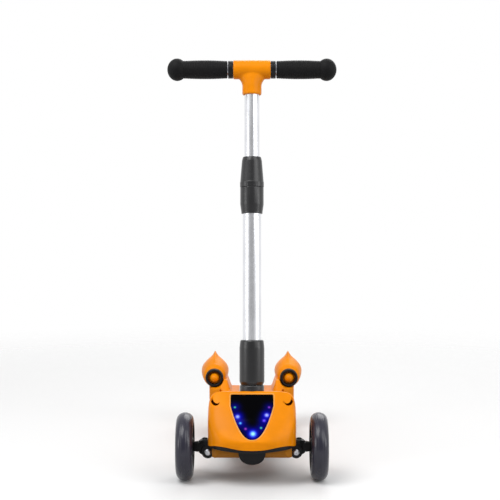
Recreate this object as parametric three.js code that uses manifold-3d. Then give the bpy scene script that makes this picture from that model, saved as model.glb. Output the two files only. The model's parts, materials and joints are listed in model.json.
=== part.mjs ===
// A children's three-wheeled scooter that steers by leaning, in millimetres with +Z up.
// The front faces -Y. All places are taken from the front axle: y is zero at the axle's plane
// and z is zero at the floor, and the finished group is then centred on its own length.
import * as THREE from "three";
import { mergeVertices } from "three/addons/utils/BufferGeometryUtils.js";
import Module from "manifold-3d";

const wasm = await Module();
wasm.setup();

// Clearances shared by the whole model
const gap = 0.3; // between faces that touch or are cut to fit
const play = 0.6; // round what turns or slides
const overrun = 4; // how far a cutting shape runs past the face that it cuts

// Wheels
const frontWheelRadius = 60;
const frontTyreWidth = 30;
const rearWheelRadius = 50;
const rearTyreWidth = 28;
const frontTrack = 238; // from the middle of one front tyre to the other
const wheelbase = 440;
const tyreDepth = 17; // from the tread to the rim
const treadRoundShare = 0.82; // of half the width, the radius of a tyre's shoulder
const rimWall = 4.5;
const hubWebThickness = 9;
const hubBossRadius = 15;
const frontBossInset = 5; // of a hub's boss from the tyre's flank
const rearBossInset = 1.5;
const spokeCount = 6;
const spokeWidth = 8;
const bearingOuterRadius = 11;
const bearingBoreRadius = 4.3;
const bearingWidth = 7;
const axleRadius = 4;
const axleHeadRadius = 7;
const axleHeadLength = 4;
const hubCapRadius = 14;
const hubCapLength = 7;
const hubCapWall = 2;

// Bolt heads
const headBevelShare = 0.7;
const headCrownShare = 0.8;

// Front truck
const leanHeight = frontWheelRadius; // the lean axis passes at the height of the front axles
const barrelRadius = 24;
const barrelBoreRadius = 17;
const barrelBack = 22; // behind the axle
const bushWall = 9;
const leanBoltRadius = 5;
const leanBoltHeadRadius = 8.5;
const leanBoltHeadLength = 6;
const beamHeight = 24; // at the kingpins
const beamMiddleHeight = 16;
const beamDepth = 24;
const knuckleReach = 35; // from a kingpin out to the middle of its tyre
const kingpinOffset = frontTrack / 2 - knuckleReach; // from the middle to a kingpin
const kingpinRadius = 4;
const kingpinHeadRadius = 7;
const kingpinHeadLength = 2.6;
const knuckleBossRadius = 10;
const knuckleBossHeight = 17;
const earThickness = 4.5;
const earRadius = 11;
const armEndThickness = 13.5; // of the knuckle's arm where it meets the wheel
const armDepth = 15;
const hubSeatRadius = 6.5;
const steeringArmReach = 31; // behind the kingpin
const steeringArmWidth = 11;
const driveTabWidth = 6; // of the bracket's tab that moves the tie rod
const driveTabReach = 20.9; // below the lean axis, to the middle of the tie rod
const driveTabPlay = 1.3;
const steeringArmThickness = 6;
const tiePinRadius = 3;
const tiePinLength = 15.5;
const tieRodWidth = 12;
const tieRodThickness = 4;
const tieSlotPlay = 1; // each side of a pin along the slot
const pinchBossRadius = 11;
const pinchBossDepth = 8;
const pinchHeadRadius = 5.8;
const pinchHeadLength = 3.4;
const pinchShankRadius = 2.5;
const pinchSocketRadius = 2.4;
const pinchInset = 6; // of a pinch screw from its kingpin, towards the middle
const pinchOffset = kingpinOffset - pinchInset;
const pinchDrop = 6.5; // of a pinch screw below the lean axis
const trayInset = 14; // of the tray's side from the kingpin
const trayHalfWidth = kingpinOffset - trayInset;
const trayFront = 45;
const trayBack = 21;
const trayBottom = 48;
const trayTop = 63;
const trayWall = 2.4;
const trayChamfer = 8;
const trayCornerLength = 14; // of the bevel on the tray's front corners, seen from above
const trayCornerWidth = 11;
const barrelFront = trayFront - trayWall - gap; // ahead of the axle

// Leaning body
const bracketWall = 5;
const bracketHalfWidth = 24;
const bracketBridge = 27.5; // height of the bridge above the lean axis
const bracketTongue = 62; // how far the bracket's tongue reaches into the deck, behind its rear plate
const socketWall = 4.5;
const deckFront = 46; // behind the axle
const tailRoom = 54; // between the deck's back and the rear axle
const deckBack = wheelbase - tailRoom;
const deckInset = 19; // of the deck's side from the kingpin
const deckHalfWidth = kingpinOffset - deckInset;
const deckFrontTaper = 13; // of each side, at the deck's front
const deckFrontHalfWidth = deckHalfWidth - deckFrontTaper;
const deckRise = 30; // of the deck's top above the lean axis
const deckTop = leanHeight + deckRise;
const deckThickness = 34;
const deckSkin = 5;
const deckSkirt = 6;
const deckCorner = 22;
const railThickness = 8;
const railInner = 18; // from the middle to the inner face of a rear rail
const railHeight = 30;
const railEndRadius = 15;
const matThickness = 3;
const matRecess = 1.4;
const matFront = 140;
const matBackMargin = 20;
const matBack = deckBack - matBackMargin;
const matSideMargin = 11;
const matHalfWidth = deckHalfWidth - matSideMargin;
const matCorner = 14;

// Shell over the front truck
const noseReach = 70; // ahead of the axle
const shellOverhang = 13; // of the shell's side past the deck's
const shellHalfWidth = deckHalfWidth + shellOverhang;
const shellBottom = 67;
const shellTop = 155;
const shellWall = 2.6;
const noseHeight = 15; // of the upright front face above the bottom edge
const hoodLength = 74; // along Y, from the nose to the ledge at the top
const ledgeLength = 44; // along Y, of the level top round the column
const shellTailLength = 44; // along Y, from the ledge down to the deck
const shellTailHeight = 96; // above the floor, where the tail meets the deck
const tailOverhang = 1; // of the shell's tail past the deck's side
const shellTailHalfWidth = deckHalfWidth + tailOverhang;
const shellFlank = 65; // along Y, from the nose to the fullest width
const planPower = 3; // bluntness of the nose seen from above
const noseShoulderPower = 3.4; // squareness of the section at the nose
const topShoulderPower = 5.6; // squareness of the section at the top
const hoodCrownShare = 0.05; // how much the hood bulges above a straight line
const shellSides = 20;
const shellStations = 12;
const shellStationPower = 1.35; // draws the stations towards the nose
const archRadius = 24; // of the notch over each steering knuckle
const archLength = 20; // of its level top
const archTop = 110;
const scoopLength = 16;
const scoopWidth = 5;
const scoopInset = 15; // of a shoulder scoop from the shell's side
const scoopOffset = shellHalfWidth - scoopInset;
const scoopTilt = 38; // degrees
const visorInset = 42; // of the visor's side from the shell's
const visorHalfWidth = shellHalfWidth - visorInset;
const visorTop = 151;
const visorTip = 86;
const visorSideShare = 0.77; // of the visor's height, up to its full width
const visorThickness = 2.4;
const visorPower = 2.05; // fullness of the visor's sides
const visorSteps = 8;
const boardWidthShare = 0.7; // of the visor's half width
const lampShares = [
  // across in half widths and up in lengths of the visor
  [-0.85, 0.27], [-0.78, 0.1], [-0.66, 0.02], [-0.46, -0.1], [0, -0.24],
  [0.46, -0.1], [0.66, 0.03], [0.78, 0.14], [0.85, 0.28],
];
const boardThickness = 1.6;
const boardStandoff = 2.8;
const boardTopShare = 0.36; // of the visor's length, above the board's middle
const boardTipShare = 0.3;
const boardTipWidthShare = 0.3;
const lampRadius = 2.2;
const lampHeight = 2.2;

// Column, measured along its own axis from its foot on the shell's ledge
const rakeAngle = 6; // degrees, leaning back
const columnFoot = 22; // behind the axle
const lowerTubeRadius = 16.6;
const lowerTubeWall = 2.4;
const lowerTubeDepth = 44; // below the foot, in the socket
const upperTubeRadius = 13.6;
const upperTubeWall = 2;
const baseRingRadius = 21.7;
const baseRingBottom = -4; // below the foot, in the shell's hole
const collarBottom = 11.3;
const collarLength = 78;
const collarTopRadius = 20.2;
const collarRadius = 22.4;
const collarShoulder = 12;
const collarRound = 3;
const clampSeam = 367; // between the clamp's two halves, along the column
const clampBodyLength = 48;
const clampBottom = clampSeam - clampBodyLength;
const clampNutLength = 55;
const clampTop = clampSeam + clampNutLength;
const tubeStandout = 12; // of the lower tube's end above the seam
const lowerTubeTop = clampSeam + tubeStandout;
const tubeOverlap = 80; // of the upper tube's end below the seam
const upperTubeBottom = clampSeam - tubeOverlap;
const clampBottomRadius = 19.2;
const clampSeamRadius = 21.2;
const nutLipRadius = 21.9;
const nutTopRadius = 17;
const nutLipHeight = 9;
const colletWall = 2;
const colletLength = 17;
const colletSlit = 1.6;
const colletSlits = 4;
const clampShoulderShare = 0.35; // of the lower half's height, up to its full radius

// Handlebar, on the upper tube
const barHeight = 582; // of the bar's centre, along the column
const barTubeRadius = 11;
const barTubeWall = 2;
const teeRadius = 17;
const teeHalfWidth = 34;
const stubRadius = 17.4;
const stubLength = 46.5; // below the bar's centre
const stubBottom = barHeight - stubLength;
const teeFlare = 3; // of the stub where it meets the sleeve
const teeCollarLength = 9;
const teeCollarRadius = 16;
const gripStart = 44.6; // from the middle
const gripEnd = 154.5;
const gripInnerRadius = 15.6; // beside the collar
const gripRadius = 17.2;
const gripWaistRadius = 15.8;
const gripBallRadius = 20.7;
const gripSwellShare = 0.75;
const gripPlaceShares = [0.25, 0.5, 0.8]; // of the sleeve's length, where its width is set
const gripWallAtEnd = 5;

// Tail
const boosterOverhang = 15; // of a booster's axis past the deck's side
const boosterOffset = deckHalfWidth + boosterOverhang;
const boosterHeight = 113; // of the intake's and the nozzle's middle
const boosterLead = 20; // of an intake's face ahead of the rear axle
const boosterFront = wheelbase - boosterLead;
const boosterLength = 88;
const boosterRadius = 27;
const boosterSides = 16;
const boosterLift = 13; // how far the middle of its fullest section lies above its axis
const boosterShares = [
  // place along the shell, radius of its section, how far the fin is drawn up there, and the lift
  [0, 0.62, 0, 0], [0.05, 0.74, 0, 0.12], [0.2, 0.88, 0.08, 0.5], [0.38, 0.97, 0.4, 0.85],
  [0.55, 1, 0.85, 1], [0.68, 0.99, 1, 1], [0.8, 0.93, 0.75, 0.8], [0.92, 0.8, 0.2, 0.35],
  [1, 0.66, 0, 0],
];
const intakeRingRadius = 19.2;
const intakeRingWall = 6;
const intakeRingLength = 12;
const intakeConeRadius = 10.8;
const intakeConeLength = 16;
const intakeConeShares = [0.45, 0.75, 0.93]; // of the cone's radius, at the points of its round nose
const nozzleRadius = 17;
const nozzleMouthRadius = 20;
const nozzleLength = 16;
const nozzleWall = 2.4;
const finHeight = 34; // above the middle of the fullest section
const finPower = 36; // sharpness of the fin that the booster's top is drawn up into
const mountBottom = 58;
const mountTop = 105;
const mountStep = 92; // height of the mount's front, below the intake ring
const mountShelf = 86; // height of the mount beside the rail
const neckInset = 33; // of the neck under a booster, from the booster's axis towards the rail
const mountClearance = 1; // behind the deck
const mountFront = deckBack + mountClearance;
const mountReach = 60; // behind the rear axle
const mountBack = wheelbase + mountReach;
const mountOverhang = 11; // of the mount's side past the booster's axis
const mountOuter = boosterOffset + mountOverhang;
const mountCorner = 12;
const fenderClearance = 6;
const fenderThickness = 4;
const fenderHalfWidth = 16.5;
const hingeLead = 60; // of the fender's hinge ahead of the rear axle
const fenderHingeBack = wheelbase - hingeLead;
const fenderHingeHeight = 97;
const fenderEyeRadius = 6;
const fenderPinRadius = 2.5;
const fenderStartAngle = 125; // degrees, above the horizontal behind the wheel
const fenderSweep = 93; // degrees of the wheel that the fender covers

// Battery and buttons
const batteryLength = 84;
const batteryWidth = 66;
const batteryHeight = 20;
const batteryFront = 176;
const coverThickness = 2.4;
const coverMargin = 7;
const powerButtonRadius = 9;
const powerButtonBack = 122; // behind the axle
const powerButtonRise = 3.6;
const powerButtonTravel = 2.5;
const releaseButtonRadius = 6;
const releaseButtonPlace = 50; // along the column
const releaseButtonRise = 2.4;

// Working values
const rad = THREE.MathUtils.degToRad;
const sectionSides = 16; // round pieces of middling size
const smallSides = 8;
const wheelSides = 28;
const kingpinSides = [-1, 1];

// A closed geometry as a solid, with its shared corners merged.
function solid(geometry) {
  const plain = geometry.index ? geometry.toNonIndexed() : geometry.clone();
  plain.deleteAttribute("normal");
  plain.deleteAttribute("uv");
  const merged = mergeVertices(plain, 1e-4);
  const triVerts = new Uint32Array(merged.index.array);
  const vertProperties = merged.attributes.position.array;
  return new wasm.Manifold(new wasm.Mesh({ numProp: 3, vertProperties, triVerts }));
}

// A solid back as a geometry.
function geometryOf(body) {
  const mesh = body.getMesh();
  const geometry = new THREE.BufferGeometry();
  geometry.setAttribute("position", new THREE.BufferAttribute(mesh.vertProperties, 3));
  geometry.setIndex(new THREE.BufferAttribute(mesh.triVerts, 1));
  geometry.computeVertexNormals();
  return geometry;
}

const joined = (...bodies) => bodies.reduce((whole, next) => whole.add(next));
const cut = (body, ...tools) => tools.reduce((whole, tool) => whole.subtract(tool), body);

// A block between two corners.
function block(low, high) {
  const size = high.map((value, i) => value - low[i]);
  const geometry = new THREE.BoxGeometry(...size);
  geometry.translate(...low.map((value, i) => value + size[i] / 2));
  return solid(geometry);
}

// A profile of [radius, height] corners turned about the Z axis; it starts and ends on the axis
// or closes on itself.
function turned(profile, sides = sectionSides) {
  const points = profile.map(([radius, height]) => new THREE.Vector2(radius, height));
  const geometry = new THREE.LatheGeometry(points, sides);
  geometry.rotateX(Math.PI / 2);
  return solid(geometry);
}

// A turned pin from one height to another.
const rod = (radius, low, high, sides = sectionSides) =>
  turned([[0, low], [radius, low], [radius, high], [0, high]], sides);

// A turned ring with its bore.
const ring = (inner, outer, low, high, sides = sectionSides) =>
  turned([[inner, low], [outer, low], [outer, high], [inner, high], [inner, low]], sides);

// Turns a body that was made along Z onto X, Y or its own tilted line, then moves it.
function placed(body, { turn = [0, 0, 0], at = [0, 0, 0] }) {
  return body.rotate(turn).translate(at);
}
const alongX = (body, at = [0, 0, 0]) => placed(body, { turn: [0, 90, 0], at });
const alongY = (body, at = [0, 0, 0]) => placed(body, { turn: [-90, 0, 0], at });

// An outline of [x, y] corners, extruded along Z from one height to another.
function slab(outline, low, high) {
  const shape = new THREE.Shape(outline.map(([x, y]) => new THREE.Vector2(x, y)));
  const geometry = new THREE.ExtrudeGeometry(shape, { depth: high - low, bevelEnabled: false });
  geometry.translate(0, 0, low);
  return solid(geometry);
}

// The same outline read as [y, z] and extruded along X.
const sideSlab = (outline, low, high) => slab(outline, low, high).rotate([90, 0, 90]);

// Corners of a rectangle with round corners of one radius.
function roundedRectangle(left, right, front, back, radius, steps = 4) {
  const corners = [
    [right - radius, back - radius, 0],
    [left + radius, back - radius, 90],
    [left + radius, front + radius, 180],
    [right - radius, front + radius, 270],
  ];
  return corners.flatMap(([x, y, start]) =>
    Array.from({ length: steps + 1 }, (_, i) => {
      const angle = rad(start + (90 * i) / steps);
      return [x + radius * Math.cos(angle), y + radius * Math.sin(angle)];
    }),
  );
}

// Corners of an arc about a centre, from one angle to another in degrees.
function arc(x, y, radius, from, to, steps) {
  return Array.from({ length: steps + 1 }, (_, i) => {
    const angle = rad(from + ((to - from) * i) / steps);
    return [x + radius * Math.cos(angle), y + radius * Math.sin(angle)];
  });
}

// A closed skin through rings of equally many points, with a flat cap on each end.
function lofted(rings) {
  const count = rings[0].length;
  const points = rings.flat();
  const middle = (ringPoints) =>
    [0, 1, 2].map((k) => ringPoints.reduce((sum, point) => sum + point[k], 0) / count);
  points.push(middle(rings[0]), middle(rings[rings.length - 1]));
  const first = points.length - 2;
  const faces = [];
  for (let j = 0; j < count; j++) {
    const next = (j + 1) % count;
    faces.push(first, next, j);
    for (let i = 0; i + 1 < rings.length; i++) {
      const here = i * count;
      const there = here + count;
      faces.push(here + j, here + next, there + next, here + j, there + next, there + j);
    }
    const last = (rings.length - 1) * count;
    faces.push(last + j, last + next, first + 1);
  }
  const geometry = new THREE.BufferGeometry();
  geometry.setAttribute("position", new THREE.Float32BufferAttribute(points.flat(), 3));
  geometry.setIndex(faces);
  const body = solid(geometry);
  return body.volume() < 0 ? lofted(rings.slice().reverse()) : body;
}

// Materials
const finish = (color, roughness, metalness = 0) =>
  new THREE.MeshStandardMaterial({ color, roughness, metalness });
const orangePlastic = finish(0xff9605, 0.35);
const blackPlastic = finish(0x1b1b1c, 0.6);
const greyPlastic = finish(0x3a3b3e, 0.5);
const visorPlastic = finish(0x050506, 0.1);
const aluminium = finish(0xc9cbce, 0.3, 1);
const steel = finish(0xb6b8bb, 0.35, 1);
const darkSteel = finish(0x4a4b4e, 0.5, 1);
const wheelRubber = finish(0x3c3a46, 0.45);
const gripRubber = finish(0x1c1c1c, 0.85);
const matRubber = finish(0x2a2a2c, 0.9);
const lampBoard = finish(0x10305a, 0.4);

// One named piece in a group.
function piece(parent, name, body, material) {
  const mesh = new THREE.Mesh(geometryOf(body), material);
  mesh.name = name;
  parent.add(mesh);
  return mesh;
}

const sideName = (side) => (side < 0 ? "left" : "right");

// Wheels, each made about the X axis with its middle at the origin

// The tyre's section: a flat crown between two round shoulders, down to the rim.
function tyreBody(radius, width) {
  const half = width / 2;
  const shoulder = half * treadRoundShare;
  const rim = radius - tyreDepth;
  const crown = arc(radius - shoulder, half - shoulder, shoulder, 0, 90, 3);
  const outline = [
    [rim, -half],
    ...crown.map(([r, z]) => [r, -z]).reverse(),
    ...crown,
    [rim, half],
    [rim, -half],
  ];
  return alongX(turned(outline, wheelSides));
}

// The hub: a rim ring, a spoked web and a boss with a bearing seat in each end.
function hubBody(radius, width, bossInset, caps) {
  const outer = radius - tyreDepth - gap;
  const inner = outer - rimWall;
  const half = width / 2 - gap;
  const boss = width / 2 - bossInset;
  const web = hubWebThickness / 2;
  let body = joined(
    ring(inner, outer, -half, half, wheelSides),
    rod(hubBossRadius, -boss, boss),
  );
  const spoke = block([0, -spokeWidth / 2, -web], [inner + rimWall / 2, spokeWidth / 2, web]);
  for (let i = 0; i < spokeCount; i++) {
    body = body.add(spoke.rotate([0, 0, (360 * i) / spokeCount]));
  }
  const seat = bearingOuterRadius + gap;
  const seatDepth = caps ? boss - bearingWidth - gap : -gap;
  return alongX(
    cut(
      body,
      rod(axleRadius + play, -boss - overrun, boss + overrun, smallSides),
      rod(seat, seatDepth, boss + overrun),
      rod(seat, -boss - overrun, -seatDepth),
    ),
  );
}

// Adds a wheel's pieces; outward is the side on which its cap sits, or zero for a wheel with none.
function addWheel(parent, name, radius, width, bossInset, outward) {
  const boss = width / 2 - bossInset;
  piece(parent, `${name}_tyre`, tyreBody(radius, width), wheelRubber);
  piece(parent, `${name}_hub`, hubBody(radius, width, bossInset, outward), greyPlastic);
  if (!outward) {
    const bush = ring(bearingBoreRadius, bearingOuterRadius, -boss, boss);
    piece(parent, `${name}_bearing`, alongX(bush), steel);
    return;
  }
  const bearing = ring(bearingBoreRadius, bearingOuterRadius, -bearingWidth / 2, bearingWidth / 2);
  for (const side of kingpinSides) {
    const end = side === outward ? "outer" : "inner";
    const at = [side * (boss - bearingWidth / 2), 0, 0];
    piece(parent, `${name}_bearing_${end}`, alongX(bearing, at), steel);
  }
  const start = boss + gap;
  const cap = cut(
    rod(hubCapRadius, start, start + hubCapLength, wheelSides),
    rod(hubCapRadius - hubCapWall, start - overrun, start + hubCapLength - hubCapWall, sectionSides),
  );
  piece(parent, `${name}_cap`, alongX(cap).rotate([0, 0, outward < 0 ? 180 : 0]), blackPlastic);
}

// Front truck

const scooter = new THREE.Group();

// The barrel of the lean pivot with the beam to both kingpins, and the boss of each pinch screw.
function axleBeam() {
  const barrel = ring(barrelBoreRadius, barrelRadius, -barrelFront, barrelBack, wheelSides);
  let beam = block(
    [-kingpinOffset, -beamDepth / 2, leanHeight - beamMiddleHeight / 2],
    [kingpinOffset, beamDepth / 2, leanHeight + beamMiddleHeight / 2],
  );
  const bore = rod(barrelBoreRadius, -barrelFront - overrun, barrelBack + overrun, wheelSides);
  const earHeight = knuckleBossHeight / 2 + gap + earThickness;
  const mouth = knuckleBossHeight / 2 + gap;
  const blockLength = kingpinOffset - trayHalfWidth - gap;
  for (const side of kingpinSides) {
    const at = [side * kingpinOffset, 0, leanHeight];
    const endBlock = block([0, -beamDepth / 2, -beamHeight / 2], [blockLength, beamDepth / 2, beamHeight / 2]);
    const blockStart = side < 0 ? -trayHalfWidth - gap - blockLength : trayHalfWidth + gap;
    beam = beam.add(endBlock.translate([blockStart, 0, leanHeight]));
    beam = beam.add(rod(earRadius, -earHeight, earHeight).translate(at));
    beam = beam.add(
      alongY(rod(pinchBossRadius, 0, pinchBossDepth), [
        side * pinchOffset,
        -knuckleBossRadius - play - pinchBossDepth,
        leanHeight - pinchDrop,
      ]),
    );
    const reach = knuckleBossRadius + play + gap;
    const slot = block(
      [side < 0 ? -earRadius - overrun : -reach, -knuckleBossRadius - play, -mouth],
      [side < 0 ? reach : earRadius + overrun, beamDepth / 2 + overrun, mouth],
    );
    beam = cut(
      beam,
      slot.translate(at),
      rod(kingpinRadius + gap, -earHeight - overrun, earHeight + overrun, smallSides).translate(at),
      alongY(rod(pinchShankRadius + gap, -overrun, pinchBossDepth, smallSides), [
        side * pinchOffset,
        -knuckleBossRadius - play - pinchBossDepth,
        leanHeight - pinchDrop,
      ]),
    );
  }
  beam = beam.add(alongY(barrel, [0, 0, leanHeight]));
  return cut(beam, alongY(bore, [0, 0, leanHeight]));
}

// The tray: an open pan under the beam, chamfered along its lower front and back edges and
// cut round the barrel and the beam.
function frontTray() {
  const profile = (inset) => [
    [-trayFront + inset, trayTop],
    [-trayFront + inset, trayBottom + trayChamfer],
    [-trayFront + inset + trayChamfer, trayBottom + inset],
    [trayBack - inset - trayChamfer, trayBottom + inset],
    [trayBack - inset, trayBottom + trayChamfer],
    [trayBack - inset, trayTop],
  ];
  const hollow = profile(trayWall);
  hollow[0] = [hollow[0][0], trayTop + overrun];
  hollow[hollow.length - 1] = [hollow[hollow.length - 1][0], trayTop + overrun];
  // Seen from above, both the pan and its hollow have bevelled front corners.
  const plan = (inset) =>
    slab(
      [
        [-trayHalfWidth + inset, trayBack],
        [-trayHalfWidth + inset, -trayFront + trayCornerLength],
        [-trayHalfWidth + trayCornerWidth + inset, -trayFront],
        [trayHalfWidth - trayCornerWidth - inset, -trayFront],
        [trayHalfWidth - inset, -trayFront + trayCornerLength],
        [trayHalfWidth - inset, trayBack],
      ],
      0,
      trayTop + overrun,
    );
  const outer = sideSlab(profile(0), -trayHalfWidth, trayHalfWidth).intersect(plan(0));
  const inner = sideSlab(hollow, -trayHalfWidth, trayHalfWidth).intersect(plan(trayWall));
  const beamRoom = block(
    [-kingpinOffset, -beamDepth / 2 - gap, leanHeight - beamMiddleHeight / 2 - gap],
    [kingpinOffset, beamDepth / 2 + gap, trayTop + overrun],
  );
  const barrelRoom = alongY(
    rod(barrelRadius + gap, -barrelFront - gap, barrelBack + overrun, wheelSides),
    [0, 0, leanHeight],
  );
  const boltRoom = alongY(rod(leanBoltRadius + play, -trayFront - overrun, 0), [0, 0, leanHeight]);
  const pan = cut(outer, inner, beamRoom, barrelRoom, boltRoom);
  const bossDepth = knuckleBossRadius + play + pinchBossDepth + gap;
  const bossRoom = alongY(rod(pinchBossRadius + gap, -bossDepth, 0));
  return cut(
    pan,
    bossRoom.translate([pinchOffset, 0, leanHeight - pinchDrop]),
    bossRoom.translate([-pinchOffset, 0, leanHeight - pinchDrop]),
  );
}

// A bolt along Z with a round head above zero and a plain shank below it.
const bolt = (headRadius, headLength, shankRadius, shankLength) =>
  turned(
    [
      [0, -shankLength],
      [shankRadius, -shankLength],
      [shankRadius, 0],
      [headRadius, 0],
      [headRadius, headLength * headBevelShare],
      [headRadius * headCrownShare, headLength],
      [0, headLength],
    ],
    smallSides,
  );

// A steering knuckle, its kingpin at the origin; side is the side that its wheel stands on.
function knuckle(side) {
  const wheelFace = frontTrack / 2 - frontTyreWidth / 2 - kingpinOffset - play;
  const half = knuckleBossHeight / 2;
  const seatEnd = frontTrack / 2 - kingpinOffset - frontTyreWidth / 2 + frontBossInset - gap;
  const section = (x, height, depth) => [
    [x, -depth / 2, -height / 2],
    [x, depth / 2, -height / 2],
    [x, depth / 2, height / 2],
    [x, -depth / 2, height / 2],
  ];
  const arm = lofted([
    section(0, knuckleBossHeight, armDepth),
    section(wheelFace / 2, (knuckleBossHeight + armEndThickness) / 2, armDepth),
    section(wheelFace, armEndThickness, armDepth),
  ]);
  const seat = alongX(rod(hubSeatRadius, wheelFace / 2, seatEnd));
  const low = -half;
  const steering = slab(
    roundedRectangle(
      -steeringArmWidth / 2, steeringArmWidth / 2,
      0, steeringArmReach + steeringArmWidth / 2,
      steeringArmWidth / 2 - gap,
    ),
    low,
    low + steeringArmThickness,
  );
  const pin = rod(tiePinRadius, low - tiePinLength, low + steeringArmThickness / 2, smallSides);
  const whole = cut(
    joined(rod(knuckleBossRadius, -half, half), arm, seat, steering, pin.translate([0, steeringArmReach, 0])),
    rod(kingpinRadius + play, -half - overrun, half + overrun, smallSides),
    alongX(rod(axleRadius + gap, kingpinRadius, seatEnd + overrun, smallSides)),
  );
  return side < 0 ? whole.mirror([1, 0, 0]) : whole;
}

// The kingpin with a head above the upper ear and a nut below the lower one.
function kingpin() {
  const reach = knuckleBossHeight / 2 + 2 * gap + earThickness;
  return turned(
    [
      [0, -reach - kingpinHeadLength],
      [kingpinHeadRadius, -reach - kingpinHeadLength],
      [kingpinHeadRadius, -reach],
      [kingpinRadius, -reach],
      [kingpinRadius, reach],
      [kingpinHeadRadius, reach],
      [kingpinHeadRadius, reach + kingpinHeadLength],
      [0, reach + kingpinHeadLength],
    ],
    smallSides,
  );
}

// The tie rod: a flat bar with an open notch for each knuckle's pin and one for the drive tab.
function tieRod() {
  const half = tieRodWidth / 2;
  const reach = kingpinOffset + half;
  let bar = slab(
    roundedRectangle(-reach, reach, -half, half, half - gap),
    -tieRodThickness / 2,
    tieRodThickness / 2,
  );
  for (const side of kingpinSides) {
    const pinRoom = tiePinRadius + play;
    const slot = slab(
      roundedRectangle(-pinRoom, pinRoom, -pinRoom - tieSlotPlay, pinRoom + tieSlotPlay, tiePinRadius),
      -overrun,
      overrun,
    );
    bar = bar.subtract(slot.translate([side * kingpinOffset, 0, 0]));
  }
  const notch = driveTabWidth / 2 + driveTabPlay;
  return bar.subtract(block([-notch, -gap, -overrun], [notch, half + overrun, overrun]));
}

function addTruck() {
  piece(scooter, "axle_beam", axleBeam(), blackPlastic);
  piece(scooter, "front_tray", frontTray(), orangePlastic);
  const bush = ring(leanBoltRadius + gap, barrelBoreRadius - gap, -barrelFront + bushWall, barrelBack - gap);
  piece(scooter, "torsion_bush", alongY(bush, [0, 0, leanHeight]), gripRubber);
  const tie = piece(scooter, "tie_rod", tieRod(), darkSteel);
  tie.position.set(0, steeringArmReach, leanHeight - driveTabReach);
  for (const side of kingpinSides) {
    const name = sideName(side);
    const pivot = new THREE.Group();
    pivot.position.set(side * kingpinOffset, 0, leanHeight);
    scooter.add(pivot);
    piece(pivot, `kingpin_${name}`, kingpin(), steel);
    piece(pivot, `knuckle_${name}`, knuckle(side), blackPlastic);
    const screw = cut(
      bolt(pinchHeadRadius, pinchHeadLength, pinchShankRadius, pinchBossDepth - gap),
      rod(pinchSocketRadius, pinchHeadLength / 2, pinchHeadLength + overrun, 6),
    );
    const face = -knuckleBossRadius - play - pinchBossDepth - gap;
    piece(
      scooter,
      `pinch_screw_${name}`,
      placed(screw, { turn: [90, 0, 0], at: [side * pinchOffset, face, leanHeight - pinchDrop] }),
      steel,
    );
    const wheel = new THREE.Group();
    wheel.position.set((side * frontTrack) / 2, 0, leanHeight);
    scooter.add(wheel);
    addWheel(wheel, `front_wheel_${name}`, frontWheelRadius, frontTyreWidth, frontBossInset, side);
    const head = frontTyreWidth / 2 - frontBossInset + gap;
    const shank = head + frontTrack / 2 - kingpinOffset - knuckleBossRadius;
    const axle = alongX(bolt(axleHeadRadius, axleHeadLength, axleRadius, shank), [head, 0, 0]);
    piece(wheel, `axle_bolt_${name}`, side < 0 ? axle.mirror([1, 0, 0]) : axle, steel);
  }
}

// Leaning body

// The bracket: a lug on each side of the barrel, a bridge over it, the tab that moves the tie rod,
// a tongue into the deck and the raked socket of the column.
function leanBracket() {
  const frontFace = -trayFront - play;
  const rearFace = steeringArmReach + tieRodWidth / 2 + play;
  const top = bracketBridge + bracketWall;
  const lug = slab(
    [
      ...arc(0, 0, barrelRadius - gap, 180, 360, 12),
      [bracketHalfWidth, top],
      [-bracketHalfWidth, top],
    ],
    0,
    bracketWall,
  ).rotate([90, 0, 0]);
  const bridge = block(
    [-bracketHalfWidth, frontFace - bracketWall, bracketBridge],
    [bracketHalfWidth, rearFace + bracketWall, top],
  );
  const tab = block(
    [-driveTabWidth / 2, steeringArmReach + play, -driveTabReach - tieRodThickness],
    [driveTabWidth / 2, rearFace + bracketWall, -driveTabReach + tieRodThickness],
  );
  const underDeck = deckTop - deckSkin - gap - leanHeight;
  const tongue = block(
    [-bracketHalfWidth, rearFace, underDeck - bracketWall],
    [bracketHalfWidth, rearFace + bracketWall + bracketTongue, underDeck],
  );
  const hole = leanBoltRadius + gap;
  const boltRoom = rod(hole, frontFace - bracketWall / 2, rearFace + bracketWall + overrun);
  const low = joined(lug.translate([0, frontFace, 0]), lug.translate([0, rearFace + bracketWall, 0]), bridge, tab, tongue)
    .subtract(alongY(boltRoom))
    .translate([0, 0, leanHeight]);
  const foot = -(shellTop - leanHeight - bracketBridge - bracketWall / 2);
  const socket = cut(
    rod(lowerTubeRadius + gap + socketWall, foot, baseRingBottom - gap),
    rod(lowerTubeRadius + gap, -lowerTubeDepth - gap, baseRingBottom + overrun),
  );
  return low.add(raked(socket));
}

// Lays a body made along the column's axis onto the raked column.
const raked = (body) => placed(body, { turn: [-rakeAngle, 0, 0], at: [0, columnFoot, shellTop] });

function leanBolt() {
  const rearFace = steeringArmReach + tieRodWidth / 2 + play + bracketWall;
  const shank = rearFace + trayFront + play + bracketWall / 2 - gap;
  const body = bolt(leanBoltHeadRadius, leanBoltHeadLength, leanBoltRadius, shank);
  return alongY(body, [0, rearFace + gap, leanHeight]);
}

// The deck: a hollow board with a raised rim, two rear rails for the wheel and the fender's lugs.
const deckOutline = (inset, front) => [
  [-deckFrontHalfWidth + inset, front],
  [deckFrontHalfWidth - inset, front],
  [deckHalfWidth - inset, deckFront + deckHalfWidth],
  ...arc(deckHalfWidth - deckCorner, deckBack - deckCorner, deckCorner - inset, 0, 90, 5),
  ...arc(deckCorner - deckHalfWidth, deckBack - deckCorner, deckCorner - inset, 90, 180, 5),
  [-deckHalfWidth + inset, deckFront + deckHalfWidth],
];

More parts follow.
